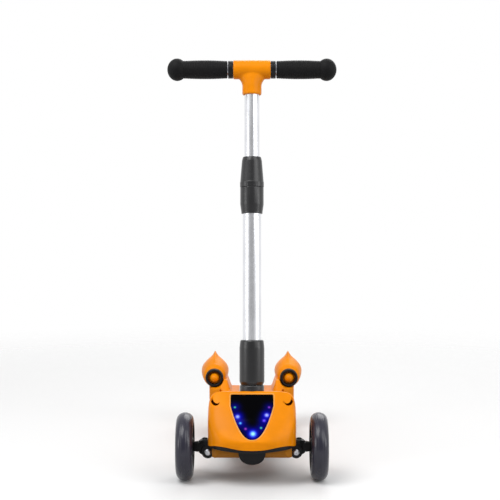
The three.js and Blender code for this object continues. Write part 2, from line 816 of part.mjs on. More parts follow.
function deck() {
  const bottom = deckTop - deckThickness;
  const lugWidth = fenderEyeRadius;
  const lugInner = fenderHalfWidth + gap;
  const axle = [0, wheelbase, rearWheelRadius];
  const rail = sideSlab(
    [
      [deckBack - deckSkirt, bottom],
      [wheelbase, rearWheelRadius - railEndRadius],
      ...arc(wheelbase, rearWheelRadius, railEndRadius, -90, 90, 8),
      [deckBack - deckSkirt, bottom + railHeight],
    ],
    railInner,
    railInner + railThickness,
  );
  const railBoss = alongX(
    rod(hubSeatRadius, rearTyreWidth / 2 - rearBossInset + gap, railInner + gap),
    axle,
  );
  const lug = sideSlab(
    [
      [fenderHingeBack - fenderEyeRadius, deckTop - deckSkin],
      [fenderHingeBack + fenderEyeRadius, deckTop - deckSkin],
      ...arc(fenderHingeBack, fenderHingeHeight, fenderEyeRadius, 0, 180, 8),
    ],
    lugInner,
    lugInner + lugWidth,
  );
  const half = joined(rail, railBoss, lug);
  const body = joined(slab(deckOutline(0, deckFront), bottom, deckTop), half, half.mirror([1, 0, 0]));
  const hollow = slab(deckOutline(deckSkirt, deckFront - overrun), bottom - overrun, deckTop - deckSkin);
  const wide = railInner + railThickness + overrun;
  const matRoom = slab(
    roundedRectangle(
      -matHalfWidth - gap, matHalfWidth + gap, matFront - gap, matBack + gap, matCorner,
    ),
    deckTop - matRecess,
    deckTop + overrun,
  );
  return cut(
    body,
    hollow,
    matRoom,
    alongX(rod(axleRadius + play, -wide, wide, smallSides), axle),
    alongX(
      rod(fenderPinRadius + gap, -wide, wide, smallSides),
      [0, fenderHingeBack, fenderHingeHeight],
    ),
    rod(powerButtonRadius + play, bottom, deckTop + overrun).translate([0, powerButtonBack, 0]),
  );
}

// The studded mat that the rider stands on.
const deckMat = () =>
  slab(
    roundedRectangle(-matHalfWidth, matHalfWidth, matFront, matBack, matCorner),
    deckTop - matRecess + gap,
    deckTop - matRecess + matThickness,
  );

// The front shell. Along Y its side profile runs from the upright nose up the hood to the ledge,
// then down the tail; its half width follows a blunt curve seen from above; and each section
// across is a squared arch whose shoulders get squarer towards the top.
const tailEnd = hoodLength + ledgeLength + shellTailLength;
const mix = (from, to, share) => from + (to - from) * share;
const smooth = (share) => share * share * (3 - 2 * share);

function shellStation(along) {
  const hoodFoot = shellBottom + noseHeight;
  const hoodShare = Math.min(along / hoodLength, 1);
  const tailShare = Math.max(0, (along - hoodLength - ledgeLength) / shellTailLength);
  const hoodRise = (shellTop - hoodFoot) * (hoodShare + hoodCrownShare * Math.sin(Math.PI * hoodShare));
  const flank = Math.min(along / shellFlank, 1);
  const plan = Math.pow(1 - Math.pow(1 - flank, planPower), 1 / planPower);
  const taper = Math.max(0, (along - shellFlank) / (tailEnd - shellFlank));
  return {
    height: mix(hoodFoot + hoodRise, shellTailHeight, smooth(tailShare)),
    half: mix(shellHalfWidth, shellTailHalfWidth, taper) * plan,
    power: mix(noseShoulderPower, topShoulderPower, hoodShare),
  };
}

function shellRing(along, inset, bottom) {
  const { height, half, power } = shellStation(along);
  const wide = Math.max(half - inset, gap);
  const rise = height - inset - shellBottom;
  const arch = Array.from({ length: shellSides + 1 }, (_, i) => {
    const angle = (Math.PI * i) / shellSides;
    const across = Math.sign(Math.cos(angle)) * Math.pow(Math.abs(Math.cos(angle)), 2 / power);
    const up = Math.pow(Math.sin(angle), 2 / power);
    return [wide * across, along - noseReach, shellBottom + rise * up];
  });
  const foot = arch[0].slice();
  const otherFoot = arch[shellSides].slice();
  foot[2] = bottom;
  otherFoot[2] = bottom;
  return [...arch, otherFoot, foot];
}

const shellLoft = (from, to, inset, bottom) =>
  lofted(
    Array.from({ length: shellStations + 1 }, (_, i) =>
      shellRing(mix(from, to, Math.pow(i / shellStations, shellStationPower)), inset, bottom),
    ),
  );

// The visor's outline seen from the front: level at the top and drawn down to a round tip.
function visorPrism(grow, front, back) {
  const half = visorHalfWidth + grow;
  const top = visorTop + grow;
  const tip = visorTip - grow;
  const side = Array.from({ length: visorSteps + 1 }, (_, i) => {
    const share = i / visorSteps;
    return [half * share, mix(tip, top, visorSideShare * Math.pow(share, visorPower))];
  });
  side.push([half, top]);
  const outline = [...side.slice(1).map(([x, z]) => [-x, z]).reverse(), ...side];
  return slab(outline, 0, back - front).rotate([90, 0, 0]).translate([0, back, 0]);
}

function frontShell() {
  const outer = shellLoft(gap, tailEnd, 0, shellBottom - gap);
  const inner = shellLoft(shellWall, tailEnd - shellWall, shellWall, shellBottom - overrun);
  const deckRoom = slab(
    [
      [-deckHalfWidth, deckFront - overrun],
      [deckHalfWidth, deckFront - overrun],
      [deckHalfWidth, deckBack],
      [-deckHalfWidth, deckBack],
    ],
    shellBottom - overrun,
    deckTop + gap,
  );
  const arch = sideSlab(
    [
      [-archRadius, shellBottom - overrun],
      [archRadius + archLength, shellBottom - overrun],
      ...arc(archLength, archTop - archRadius, archRadius, 0, 90, 4),
      ...arc(0, archTop - archRadius, archRadius, 90, 180, 4),
    ],
    -shellHalfWidth - overrun,
    shellHalfWidth + overrun,
  );
  let body = cut(outer, inner, deckRoom, arch, visorPrism(gap, -noseReach, columnFoot));
  body = body.subtract(raked(rod(baseRingRadius + play, -noseReach, noseReach)));
  const scoop = slab(
    roundedRectangle(-scoopLength / 2, scoopLength / 2, -scoopWidth / 2, scoopWidth / 2, scoopWidth / 2 - gap),
    -noseReach,
    noseReach,
  );
  for (const side of kingpinSides) {
    body = body.subtract(scoop.rotate([0, 0, side * scoopTilt]).translate([side * scoopOffset, 0, shellTop]));
  }
  return body;
}

const visor = () =>
  cut(
    shellLoft(gap, tailEnd, 0, shellBottom).intersect(visorPrism(0, -noseReach, columnFoot - baseRingRadius - play - gap)),
    shellLoft(shellWall, tailEnd - shellWall, visorThickness, shellBottom - overrun),
  );

// The lamp board lies under the visor, parallel to the hood, with its lamps in a V.
function lampBoardBody() {
  const slope = Math.atan2(shellTop - shellBottom - noseHeight, hoodLength);
  const length = (visorTop - visorTip) / Math.sin(slope);
  const boardHalf = visorHalfWidth * boardWidthShare;
  let board = slab(
    [
      [-boardHalf, length * boardTopShare],
      [-boardHalf, 0],
      [-boardHalf * boardTipWidthShare, -length * boardTipShare],
      [boardHalf * boardTipWidthShare, -length * boardTipShare],
      [boardHalf, 0],
      [boardHalf, length * boardTopShare],
    ],
    -boardThickness,
    0,
  );
  for (const [across, up] of lampShares) {
    const lamp = rod(lampRadius, -gap, lampHeight, 8);
    board = board.add(lamp.translate([across * boardHalf, up * length, 0]));
  }
  const middle = hoodLength / 2 - noseReach;
  const height = (shellTop + shellBottom + noseHeight) / 2;
  return placed(board.translate([0, 0, -boardStandoff]), {
    turn: [THREE.MathUtils.radToDeg(slope), 0, 0],
    at: [0, middle, height],
  });
}

// Column and handlebar, each made along the column's own axis

const column = new THREE.Group();
column.position.set(0, columnFoot, shellTop);
column.rotation.x = -rad(rakeAngle);

const baseRing = () => ring(lowerTubeRadius + gap, baseRingRadius, baseRingBottom, collarBottom - gap);

// The side hole for the release button, through the collar or the tube behind it.
const releaseHole = () =>
  alongY(rod(releaseButtonRadius + play, 0, collarRadius + overrun), [0, 0, releaseButtonPlace]);

function baseCollar() {
  const top = collarBottom + collarLength;
  const bore = lowerTubeRadius + gap;
  return turned([
    [bore, collarBottom],
    [collarRadius - collarRound, collarBottom],
    [collarRadius, collarBottom + collarRound],
    [collarRadius, top - collarShoulder],
    [collarTopRadius, top],
    [bore, top],
    [bore, collarBottom],
  ]).subtract(releaseHole());
}

const lowerTube = () =>
  ring(lowerTubeRadius - lowerTubeWall, lowerTubeRadius, -lowerTubeDepth, lowerTubeTop).subtract(releaseHole());

function releaseButton() {
  const inner = lowerTubeRadius + gap;
  const outer = collarRadius + releaseButtonRise;
  const body = turned([
    [0, inner],
    [releaseButtonRadius, inner],
    [releaseButtonRadius, outer - gap],
    [releaseButtonRadius - gap, outer],
    [0, outer],
  ]);
  return alongY(body, [0, 0, releaseButtonPlace]);
}

// The clamp's fixed lower half, on the lower tube.
function clampBody() {
  const bore = lowerTubeRadius + gap;
  const shoulder = mix(clampBottom, clampSeam, clampShoulderShare);
  return turned([
    [bore, clampBottom],
    [clampBottomRadius, clampBottom],
    [clampSeamRadius, shoulder],
    [clampSeamRadius, clampSeam - gap],
    [bore, clampSeam - gap],
    [bore, clampBottom],
  ]);
}

// The twisting upper half: it covers the tube's end and the collet, and ends in a cone.
function clampNut() {
  const tubeRoom = lowerTubeRadius + play;
  const colletRoom = upperTubeRadius + gap + colletWall + play;
  const step = lowerTubeTop + gap;
  const colletEnd = step + colletLength + gap;
  const top = upperTubeRadius + play;
  const body = turned([
    [tubeRoom, clampSeam],
    [nutLipRadius, clampSeam],
    [nutLipRadius, clampSeam + nutLipHeight],
    [clampSeamRadius, clampSeam + nutLipHeight + nutLipRadius - clampSeamRadius],
    [nutTopRadius, clampTop],
    [top, clampTop],
    [top, colletEnd],
    [colletRoom, colletEnd],
    [colletRoom, step],
    [tubeRoom, step],
    [tubeRoom, clampSeam],
  ]);
  return body;
}

// The split ring that the nut closes on the upper tube.
function collet() {
  const inner = upperTubeRadius + gap;
  const low = lowerTubeTop + gap;
  let body = ring(inner, inner + colletWall, low, low + colletLength);
  const slit = block(
    [0, -colletSlit / 2, low + colletLength / 3],
    [inner + colletWall + overrun, colletSlit / 2, low + colletLength + overrun],
  );
  for (let i = 0; i < colletSlits; i++) body = body.subtract(slit.rotate([0, 0, (360 * i) / colletSlits]));
  return body;
}

const upperTube = () =>
  ring(
    upperTubeRadius - upperTubeWall,
    upperTubeRadius,
    upperTubeBottom,
    barHeight - barTubeRadius - play,
  );

// The tee: a sleeve for the bar with a rim at each end, and the stub that takes the upper tube.
function teeJoint() {
  const sleeve = turned([
    [0, -teeHalfWidth],
    [teeRadius, -teeHalfWidth],
    [teeRadius, teeHalfWidth],
    [0, teeHalfWidth],
  ]);
  const stub = turned([
    [0, stubBottom],
    [stubRadius, stubBottom],
    [stubRadius, barHeight - teeRadius],
    [stubRadius + teeFlare, barHeight - teeRadius / 2],
    [teeRadius, barHeight],
    [0, barHeight],
  ]);
  return cut(
    joined(alongX(sleeve, [0, 0, barHeight]), stub),
    alongX(rod(barTubeRadius + gap, -teeHalfWidth - overrun, teeHalfWidth + overrun), [0, 0, barHeight]),
    rod(upperTubeRadius + gap, stubBottom - overrun, barHeight),
  );
}

const barTube = () => {
  const half = gripEnd - gripWallAtEnd - gap;
  return alongX(ring(barTubeRadius - barTubeWall, barTubeRadius, -half, half), [0, 0, barHeight]);
};

const barCollar = (side) => {
  const start = teeHalfWidth + gap;
  const body = ring(barTubeRadius + gap, teeCollarRadius, start, start + teeCollarLength);
  return alongX(body, [0, 0, barHeight]).rotate([0, 0, side < 0 ? 180 : 0]);
};

// The grip: a slightly barrelled sleeve, a waist and a closed ball end.
function grip(side) {
  const ball = gripEnd - gripBallRadius;
  const waist = ball - Math.sqrt(gripBallRadius ** 2 - gripWaistRadius ** 2);
  const from = 180 - THREE.MathUtils.radToDeg(Math.asin(gripWaistRadius / gripBallRadius));
  const end = arc(0, ball, gripBallRadius, 90 - from, 90, 6);
  const bore = barTubeRadius + gap;
  const body = turned([
    [bore, gripStart],
    [gripInnerRadius, gripStart],
    [mix(gripInnerRadius, gripRadius, gripSwellShare), mix(gripStart, waist, gripPlaceShares[0])],
    [gripRadius, mix(gripStart, waist, gripPlaceShares[1])],
    [mix(gripWaistRadius, gripRadius, gripSwellShare), mix(gripStart, waist, gripPlaceShares[2])],
    [gripWaistRadius, waist - gap],
    ...end.slice(0, -1).filter(([, x]) => x > waist),
    [0, gripEnd],
    [0, gripEnd - gripWallAtEnd],
    [bore, gripEnd - gripWallAtEnd],
    [bore, gripStart],
  ]);
  return alongX(body, [0, 0, barHeight]).rotate([0, 0, side < 0 ? 180 : 0]);
}

function addColumn() {
  scooter.add(column);
  piece(column, "base_ring", baseRing(), greyPlastic);
  piece(column, "base_collar", baseCollar(), greyPlastic);
  piece(column, "column_release_button", releaseButton(), blackPlastic);
  piece(column, "lower_tube", lowerTube(), aluminium);
  piece(column, "clamp_body", clampBody(), greyPlastic);
  piece(column, "clamp_nut", clampNut(), greyPlastic);
  piece(column, "clamp_collet", collet(), blackPlastic);
  piece(column, "upper_tube", upperTube(), aluminium);
  piece(column, "tee_joint", teeJoint(), orangePlastic);
  piece(column, "bar_tube", barTube(), steel);
  for (const side of kingpinSides) {
    piece(column, `bar_collar_${sideName(side)}`, barCollar(side), blackPlastic);
    piece(column, `grip_${sideName(side)}`, grip(side), gripRubber);
  }
}

// Tail

// A booster's section: a circle whose top is drawn up into a pointed fin along the middle of it.
function boosterRing(share, grow = 0) {
  const swell = boosterShares.findIndex(([place]) => place >= share);
  const [place, radiusShare, finShare, liftShare] = boosterShares[swell];
  const radius = boosterRadius * radiusShare + grow;
  const fin = (finHeight / boosterRadius - 1) * finShare;
  const along = mix(intakeRingLength + gap, boosterLength + intakeRingLength, place);
  return Array.from({ length: boosterSides }, (_, j) => {
    const angle = (2 * Math.PI * j) / boosterSides;
    const peak = Math.pow(Math.max(0, Math.sin(angle)), finPower);
    const reach = radius * (1 + fin * peak);
    return [reach * Math.cos(angle), along, reach * Math.sin(angle) + boosterLift * liftShare];
  });
}

const boosterBody = (grow = 0) => lofted(boosterShares.map(([share]) => boosterRing(share, grow)));

function intakeRing() {
  const inner = intakeRingRadius - intakeRingWall;
  const round = intakeRingWall / 3;
  return turned([
    [inner, intakeRingLength],
    [inner, round],
    [inner + round, 0],
    [intakeRingRadius - round, 0],
    [intakeRingRadius, round],
    [intakeRingRadius, intakeRingLength],
    [inner, intakeRingLength],
  ]);
}

const intakeCone = () =>
  turned([
    [0, intakeRingLength - intakeConeLength],
    ...intakeConeShares.map((share) => [
      intakeConeRadius * share,
      intakeRingLength - intakeConeLength * Math.sqrt(1 - share * share),
    ]),
    [intakeConeRadius, intakeRingLength + play],
    [0, intakeRingLength + play],
  ]);

function exhaustNozzle() {
  const start = intakeRingLength + boosterLength + gap;
  return turned([
    [0, start],
    [nozzleRadius, start],
    [nozzleMouthRadius, start + nozzleLength],
    [nozzleMouthRadius - nozzleWall, start + nozzleLength],
    [nozzleRadius - nozzleWall, start + nozzleWall],
    [0, start + nozzleWall],
  ]);
}

// The mount: a lobe outside each rear rail that flares out and cradles the booster.
function boosterMount(side) {
  const inner = railInner + railThickness + gap;
  const outline = [
    [inner, mountFront],
    [deckHalfWidth - mountCorner, mountFront],
    [mountOuter, boosterFront + intakeRingLength],
    ...arc(mountOuter - mountCorner, mountBack - mountCorner, mountCorner, 0, 90, 4),
    [inner, mountBack],
  ];
  const at = [boosterOffset, boosterFront, boosterHeight];
  const cradle = joined(
    boosterBody(gap).translate(at),
    alongY(rod(intakeRingRadius + gap, -overrun, intakeRingLength + gap + overrun), at),
  );
  const axleRoom = alongX(rod(axleHeadRadius + play, 0, inner + axleHeadLength + play), [0, wheelbase, rearWheelRadius]);
  const ringRoom = block(
    [0, mountFront - overrun, mountStep],
    [mountOuter + overrun, boosterFront + intakeRingLength + gap, mountTop + overrun],
  );
  const shelfRoom = block(
    [0, mountFront - overrun, mountShelf],
    [boosterOffset - neckInset, mountBack + overrun, mountTop + overrun],
  );
  const body = cut(slab(outline, mountBottom, mountTop), cradle, axleRoom, ringRoom, shelfRoom);
  return side < 0 ? body.mirror([1, 0, 0]) : body;
}

// The fender: a curved plate over the rear wheel with an eye round its hinge pin at the front.
function brakeFender() {
  const inner = rearWheelRadius + fenderClearance;
  const outer = inner + fenderThickness;
  const start = fenderStartAngle;
  const arm = [
    [fenderHingeBack, fenderHingeHeight - fenderThickness / 2],
    ...arc(wheelbase, rearWheelRadius, inner, start, start - fenderSweep, 14),
    ...arc(wheelbase, rearWheelRadius, outer, start - fenderSweep, start, 14),
    [fenderHingeBack, fenderHingeHeight + fenderThickness / 2],
  ];
  const at = [0, fenderHingeBack, fenderHingeHeight];
  return joined(
    sideSlab(arm, -fenderHalfWidth, fenderHalfWidth),
    alongX(rod(fenderEyeRadius, -fenderHalfWidth, fenderHalfWidth), at),
  ).subtract(alongX(rod(fenderPinRadius + gap, -fenderHalfWidth - overrun, fenderHalfWidth + overrun, smallSides), at));
}

function addTail() {
  for (const side of kingpinSides) {
    const name = sideName(side);
    const booster = new THREE.Group();
    booster.position.set(side * boosterOffset, boosterFront, boosterHeight);
    scooter.add(booster);
    const shell = boosterBody().add(alongY(intakeCone()));
    piece(booster, `booster_shell_${name}`, shell, orangePlastic);
    piece(booster, `intake_ring_${name}`, alongY(intakeRing()), blackPlastic);
    piece(booster, `exhaust_nozzle_${name}`, alongY(exhaustNozzle()), greyPlastic);
    piece(scooter, `booster_mount_${name}`, boosterMount(side), orangePlastic);
  }
  const wheel = new THREE.Group();
  wheel.position.set(0, wheelbase, rearWheelRadius);
  scooter.add(wheel);
  addWheel(wheel, "rear_wheel", rearWheelRadius, rearTyreWidth, rearBossInset, 0);
  const reach = railInner + railThickness + gap;
  const axle = turned([
    [0, -reach - axleHeadLength],
    [axleHeadRadius, -reach - axleHeadLength],
    [axleHeadRadius, -reach],
    [axleRadius, -reach],
    [axleRadius, reach],
    [axleHeadRadius, reach],
    [axleHeadRadius, reach + axleHeadLength],
    [0, reach + axleHeadLength],
  ]);
  piece(wheel, "rear_axle_bolt", alongX(axle), steel);
  piece(scooter, "brake_fender", brakeFender(), blackPlastic);
  const hinge = new THREE.Group();
  hinge.position.set(0, fenderHingeBack, fenderHingeHeight);
  scooter.add(hinge);
  const pinReach = fenderHalfWidth + gap + fenderEyeRadius;
  piece(hinge, "fender_pin", alongX(rod(fenderPinRadius, -pinReach, pinReach, smallSides)), steel);
}

// Battery under the deck, its cover and the power button

function addBattery() {
  const ceiling = deckTop - deckSkin - gap;
  const bottom = deckTop - deckThickness + gap;
  const half = deckHalfWidth - deckSkirt - gap;
  const box = slab(
    roundedRectangle(
      -batteryWidth / 2, batteryWidth / 2, batteryFront, batteryFront + batteryLength, coverThickness,
    ),
    ceiling - batteryHeight,
    ceiling,
  );
  piece(scooter, "battery_box", box, greyPlastic);
  const cover = slab(
    roundedRectangle(
      -half, half, batteryFront - coverMargin, batteryFront + batteryLength + coverMargin, coverMargin,
    ),
    bottom,
    bottom + coverThickness,
  );
  piece(scooter, "battery_cover", cover, blackPlastic);
  const depth = deckSkin + powerButtonTravel / 2;
  const button = turned([
    [0, -depth],
    [powerButtonRadius, -depth],
    [powerButtonRadius, powerButtonRise - gap],
    [powerButtonRadius - 2 * gap, powerButtonRise],
    [0, powerButtonRise],
  ]);
  const mesh = piece(scooter, "power_button", button, blackPlastic);
  mesh.position.set(0, powerButtonBack, deckTop);
}

function addBody() {
  piece(scooter, "lean_bracket", leanBracket(), darkSteel);
  piece(scooter, "lean_bolt", leanBolt(), steel);
  piece(scooter, "deck", deck(), orangePlastic);
  piece(scooter, "deck_mat", deckMat(), matRubber);
  piece(scooter, "front_shell", frontShell(), orangePlastic);
  piece(scooter, "visor", visor(), visorPlastic);
  piece(scooter, "lamp_board", lampBoardBody(), lampBoard);
}

addTruck();
addBody();
addColumn();
addTail();
addBattery();

// The finished scooter stands with the middle of its length over the origin.
const boosterEnd = boosterFront + intakeRingLength + boosterLength + gap + nozzleLength;
scooter.position.y = -(boosterEnd - noseReach) / 2;
const group = new THREE.Group();
group.name = "three_wheel_scooter";
group.add(scooter);

export default group;
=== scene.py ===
import json
import math

import bmesh
import bpy
import numpy as np
from mathutils import Matrix, Vector


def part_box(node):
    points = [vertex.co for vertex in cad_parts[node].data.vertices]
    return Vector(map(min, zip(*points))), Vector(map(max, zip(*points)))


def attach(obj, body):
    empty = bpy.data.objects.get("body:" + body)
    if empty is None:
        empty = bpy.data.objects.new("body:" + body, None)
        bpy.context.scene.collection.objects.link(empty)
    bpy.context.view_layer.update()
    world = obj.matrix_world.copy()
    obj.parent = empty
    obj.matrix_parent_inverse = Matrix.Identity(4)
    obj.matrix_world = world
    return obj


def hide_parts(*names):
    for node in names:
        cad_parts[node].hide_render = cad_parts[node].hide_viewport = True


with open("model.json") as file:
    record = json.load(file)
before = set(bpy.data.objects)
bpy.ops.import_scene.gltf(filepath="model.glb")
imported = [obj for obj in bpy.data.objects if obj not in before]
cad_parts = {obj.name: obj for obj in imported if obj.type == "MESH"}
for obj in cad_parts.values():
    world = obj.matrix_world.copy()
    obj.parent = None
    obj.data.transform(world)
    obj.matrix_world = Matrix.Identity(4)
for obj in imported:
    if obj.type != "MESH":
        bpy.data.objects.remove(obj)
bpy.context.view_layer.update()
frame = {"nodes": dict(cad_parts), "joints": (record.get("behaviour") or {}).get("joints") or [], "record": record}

bpy.context.scene.view_settings.view_transform = "Standard"
mm = 0.001
circle = 2 * math.pi
joints = {joint["name"]: joint for joint in frame["joints"]}
bodies = frame["record"]["behaviour"]["bodies"]
bodyOfNode = {nodeName: bodyName for bodyName, nodeNames in bodies.items() for nodeName in nodeNames}
slotOfNode = {row["node"]: row["material_slot"] for row in frame["record"]["subparts"]}
sides = {"left": -1, "right": 1}


def nodeBox(node):
    # a node's lowest and highest corner in metres
    low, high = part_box(node)
    return np.array(low), np.array(high)


def nodeCentre(node):
    low, high = nodeBox(node)
    return (low + high) / 2


def nodeSize(node):
    # a node's lengths along X, Y and Z in millimetres
    low, high = nodeBox(node)
    return (high - low) / mm


# Column: the line that the tubes share, from its foot inside the shell
columnAxis = Vector(joints["clamp_twist"]["axis"]).normalized()
columnPoint = Vector(joints["clamp_twist"]["pos_m"])
footHeight = 155 * mm
foot = columnPoint + columnAxis * (footHeight - columnPoint.z) / columnAxis.z


def nodePoints(node):
    # a node's points in metres, one in each row
    mesh = frame["nodes"][node].data
    flat = np.empty(len(mesh.vertices) * 3)
    mesh.vertices.foreach_get("co", flat)
    return flat.reshape(-1, 3)


def columnSpan(node):
    # lowest and highest place of a node along the column, and its radius about it, in millimetres
    away = nodePoints(node) - np.array(foot)
    along = away @ np.array(columnAxis)
    radius = np.linalg.norm(away - along[:, None] * np.array(columnAxis), axis=1)
    return along.min() / mm, along.max() / mm, radius.max() / mm


def onAxis(point, axis):
    # a matrix that lays a shape made about +Z on the given line
    axis = Vector(axis).normalized()
    side = Vector((1, 0, 0)) if abs(axis.x) < 0.9 else Vector((0, 1, 0))
    across = axis.cross(side).normalized()
    turn = Matrix((across.cross(axis), across, axis)).transposed().to_4x4()
    return Matrix.Translation(Vector(point)) @ turn


def endPlace(node, axis):
    # a place in the middle of a node's near end, facing along the axis, and its length that way in
    # millimetres
    axis = Vector(axis)
    away = (nodePoints(node) - nodeCentre(node)) @ np.array(axis)
    place = onAxis(Vector(nodeCentre(node)) + axis * float(away.min()), axis)
    return place, (away.max() - away.min()) / mm


def moved(grid, place):
    # points in millimetres about a place, as metres in the frame
    matrix = np.array(place)
    return grid * mm @ matrix[:3, :3].T + matrix[:3, 3]


# Curves

def eased(places, known, values):
    # a smooth curve through known values, by a blend of the slopes on both sides
    known, values = np.asarray(known, float), np.asarray(values, float)
    slopes = np.gradient(values, known)
    index = np.clip(np.searchsorted(known, places, "right") - 1, 0, len(known) - 2)
    gap = known[index + 1] - known[index]
    share = (places - known[index]) / gap
    rest = 1 - share
    start = rest ** 2 * ((1 + 2 * share) * values[index] + share * gap * slopes[index])
    return start + share ** 2 * ((3 - 2 * share) * values[index + 1] - rest * gap * slopes[index + 1])


def smoothStep(value):
    # three times the square less twice the cube, between 0 and 1
    value = np.clip(value, 0, 1)
    return value * value * (3 - 2 * value)


def around(count):
    # even angles of a whole turn
    return np.linspace(0, circle, count, endpoint=False)


def quarter(count):
    # even angles from 0 to a quarter turn
    return np.linspace(0, math.pi / 2, count)


def boxy(wave, power):
    # a cosine or sine drawn out towards a square one: its size to a power, with its sign
    return np.sign(wave) * np.abs(wave) ** power


def rounded(corners, radius):
    # an open outline whose inner corners are drawn out into short curves of about the given radius
    corners = np.asarray(corners, float)
    points = [corners[0]]
    for before, corner, after in zip(corners, corners[1:], corners[2:]):
        ways = np.array([before, after]) - corner
        lengths = np.linalg.norm(ways, axis=1)
        reach = min(radius, *lengths / 2.2)
        start, end = (corner + way / length * reach for way, length in zip(ways, lengths))
        for share in np.linspace(0, 1, 5):
            points.append((1 - share) ** 2 * start + 2 * share * (1 - share) * corner + share ** 2 * end)
    return np.array(points + [corners[-1]])


def rod(radius, low, high):
    # the profile of a solid round bar
    return [(0, low), (radius, low), (radius, high), (0, high)]


def sleeve(bore, radius, low, high):
    # the profile of a plain ring
    return [(bore, low), (radius, low), (radius, high), (bore, high)]


# Meshes worked out as whole arrays

def gridFaces(rows, columns, wrap):
    # quads between neighbouring rows; with wrap, the last column meets the first
    i = np.arange(rows - 1)[:, None] * columns
    j = np.arange(columns if wrap else columns - 1)[None, :]
    k = (j + 1) % columns
    return np.stack([i + j, i + k, i + columns + k, i + columns + j], -1).reshape(-1, 4)


def linked(name, data):
    # a new object in the scene, with the given mesh, lamp or camera
    piece = bpy.data.objects.new(name, data)
    bpy.context.scene.collection.objects.link(piece)
    return piece


def newObject(name, points, faces, extra=()):
    # a mesh object from points in metres and faces; extra holds faces with more corners
    mesh = bpy.data.meshes.new(name)
    mesh.from_pydata(np.asarray(points).reshape(-1, 3).tolist(), [], faces.tolist() + list(extra))
    return linked(name, mesh)


def cleaned(piece, merge=1e-6):
    # merges doubled points and turns every face outwards
    mesh = bmesh.new()
    mesh.from_mesh(piece.data)
    bmesh.ops.remove_doubles(mesh, verts=mesh.verts, dist=merge)
    bmesh.ops.dissolve_degenerate(mesh, edges=mesh.edges, dist=merge)
    bmesh.ops.recalc_face_normals(mesh, faces=mesh.faces)
    mesh.to_mesh(piece.data)
    mesh.free()
    return piece


def sheetOf(name, grid, caps=True):
    # a closed tube through a grid of points, rows by columns, with a flat face on each end row
    rows, columns = grid.shape[:2]
    ends = [tuple(range(columns)), tuple(range((rows - 1) * columns, rows * columns))] if caps else []
    return cleaned(newObject(name, grid, gridFaces(rows, columns, True), ends))


def turned(name, profile, place, segments=96, flute=None):
    # a profile of radius and height turned about the place's Z axis; where the profile doesn't
    # start and end on the axis it closes on itself. flute gives radius added by angle and height.
    profile = np.asarray(profile, float)
    if profile[0, 0] > 0 or profile[-1, 0] > 0:
        profile = np.vstack([profile, profile[:1]])
    angle = around(segments)[None, :]
    radius = np.repeat(profile[:, :1], segments, axis=1)
    height = np.repeat(profile[:, 1:], segments, axis=1)
    if flute is not None:
        radius = radius + flute(angle, height, radius)
    grid = np.stack([radius * np.cos(angle), radius * np.sin(angle), height], -1)
    return sheetOf(name, moved(grid, place), caps=False)


def prism(name, outline, place, low, high):
    # a closed block over an outline in the place's own X and Y
    outline = np.asarray(outline, float)
    rings = [np.column_stack([outline, np.full(len(outline), level)]) for level in (low, high)]
    return sheetOf(name, moved(np.array(rings), place))


# Changes to finished meshes

def changed(piece, *changes):
    # puts modifiers on a piece, each a kind with its settings, and keeps their result as its mesh
    for kind, settings in changes:
        change = piece.modifiers.new(kind, kind)
        for key, value in settings.items():
            setattr(change, key, value)
    bpy.context.view_layer.update()
    graph = bpy.context.evaluated_depsgraph_get()
    made = bpy.data.meshes.new_from_object(piece.evaluated_get(graph))
    piece.modifiers.clear()
    piece.data = made
    return piece


def bevel(width, angle, **settings):
    # a bevel of a width in millimetres on edges sharper than an angle in degrees
    return "BEVEL", {"width": width * mm, "segments": 2, "limit_method": "ANGLE",
                     "angle_limit": math.radians(angle), **settings}


def carve(piece, *cutters, operation="DIFFERENCE"):
    # combines a piece with others, which it uses up; they are taken out of it if nothing else is said
    changed(piece, *[("BOOLEAN", {"operation": operation, "solver": "EXACT", "object": cutter})
                     for cutter in cutters])
    for cutter in cutters:
        bpy.data.objects.remove(cutter)
    return piece


def joinedObjects(parts):
    # one mesh out of several, kept by the first object
    mesh = bmesh.new()
    for part in parts:
        mesh.from_mesh(part.data)
    for part in parts[1:]:
        bpy.data.objects.remove(part)
    mesh.to_mesh(parts[0].data)
    mesh.free()
    return parts[0]


def softened(node, width):
    # a copy of a CAD node with merged points, flat faces joined and edges rounded
    piece = linked(node + "Soft", frame["nodes"][node].data.copy())
    piece.data.materials.clear()
    mesh = bmesh.new()
    mesh.from_mesh(piece.data)
    bmesh.ops.remove_doubles(mesh, verts=mesh.verts, dist=2e-6)
    bmesh.ops.dissolve_limit(mesh, angle_limit=math.radians(1), verts=mesh.verts, edges=mesh.edges)
    mesh.to_mesh(piece.data)
    mesh.free()
    return changed(piece, bevel(width, 28, miter_outer="MITER_ARC"))


def dress(piece, paint, body, slot, *nodes, smooth=35):
    # gives a finished piece its material and its body, and hides the CAD nodes that it stands for; the slot is not
    # used
    piece.data.materials.clear()
    piece.data.materials.append(paint.material)
    piece.data.shade_smooth()
    piece.data.set_sharp_from_angle(angle=math.radians(smooth))
    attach(piece, body)
    if nodes:
        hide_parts(*nodes)


def standFor(piece, node, paint=None, smooth=35):
    # the common case: a piece that takes over one node's body and the paint of its slot
    piece.name = node + "Form"
    slot = slotOfNode[node]
    dress(piece, paint or paintOfSlot[slot], bodyOfNode[node], slot, node, smooth=smooth)


# Materials: node sockets as values, so that patterns read as sums

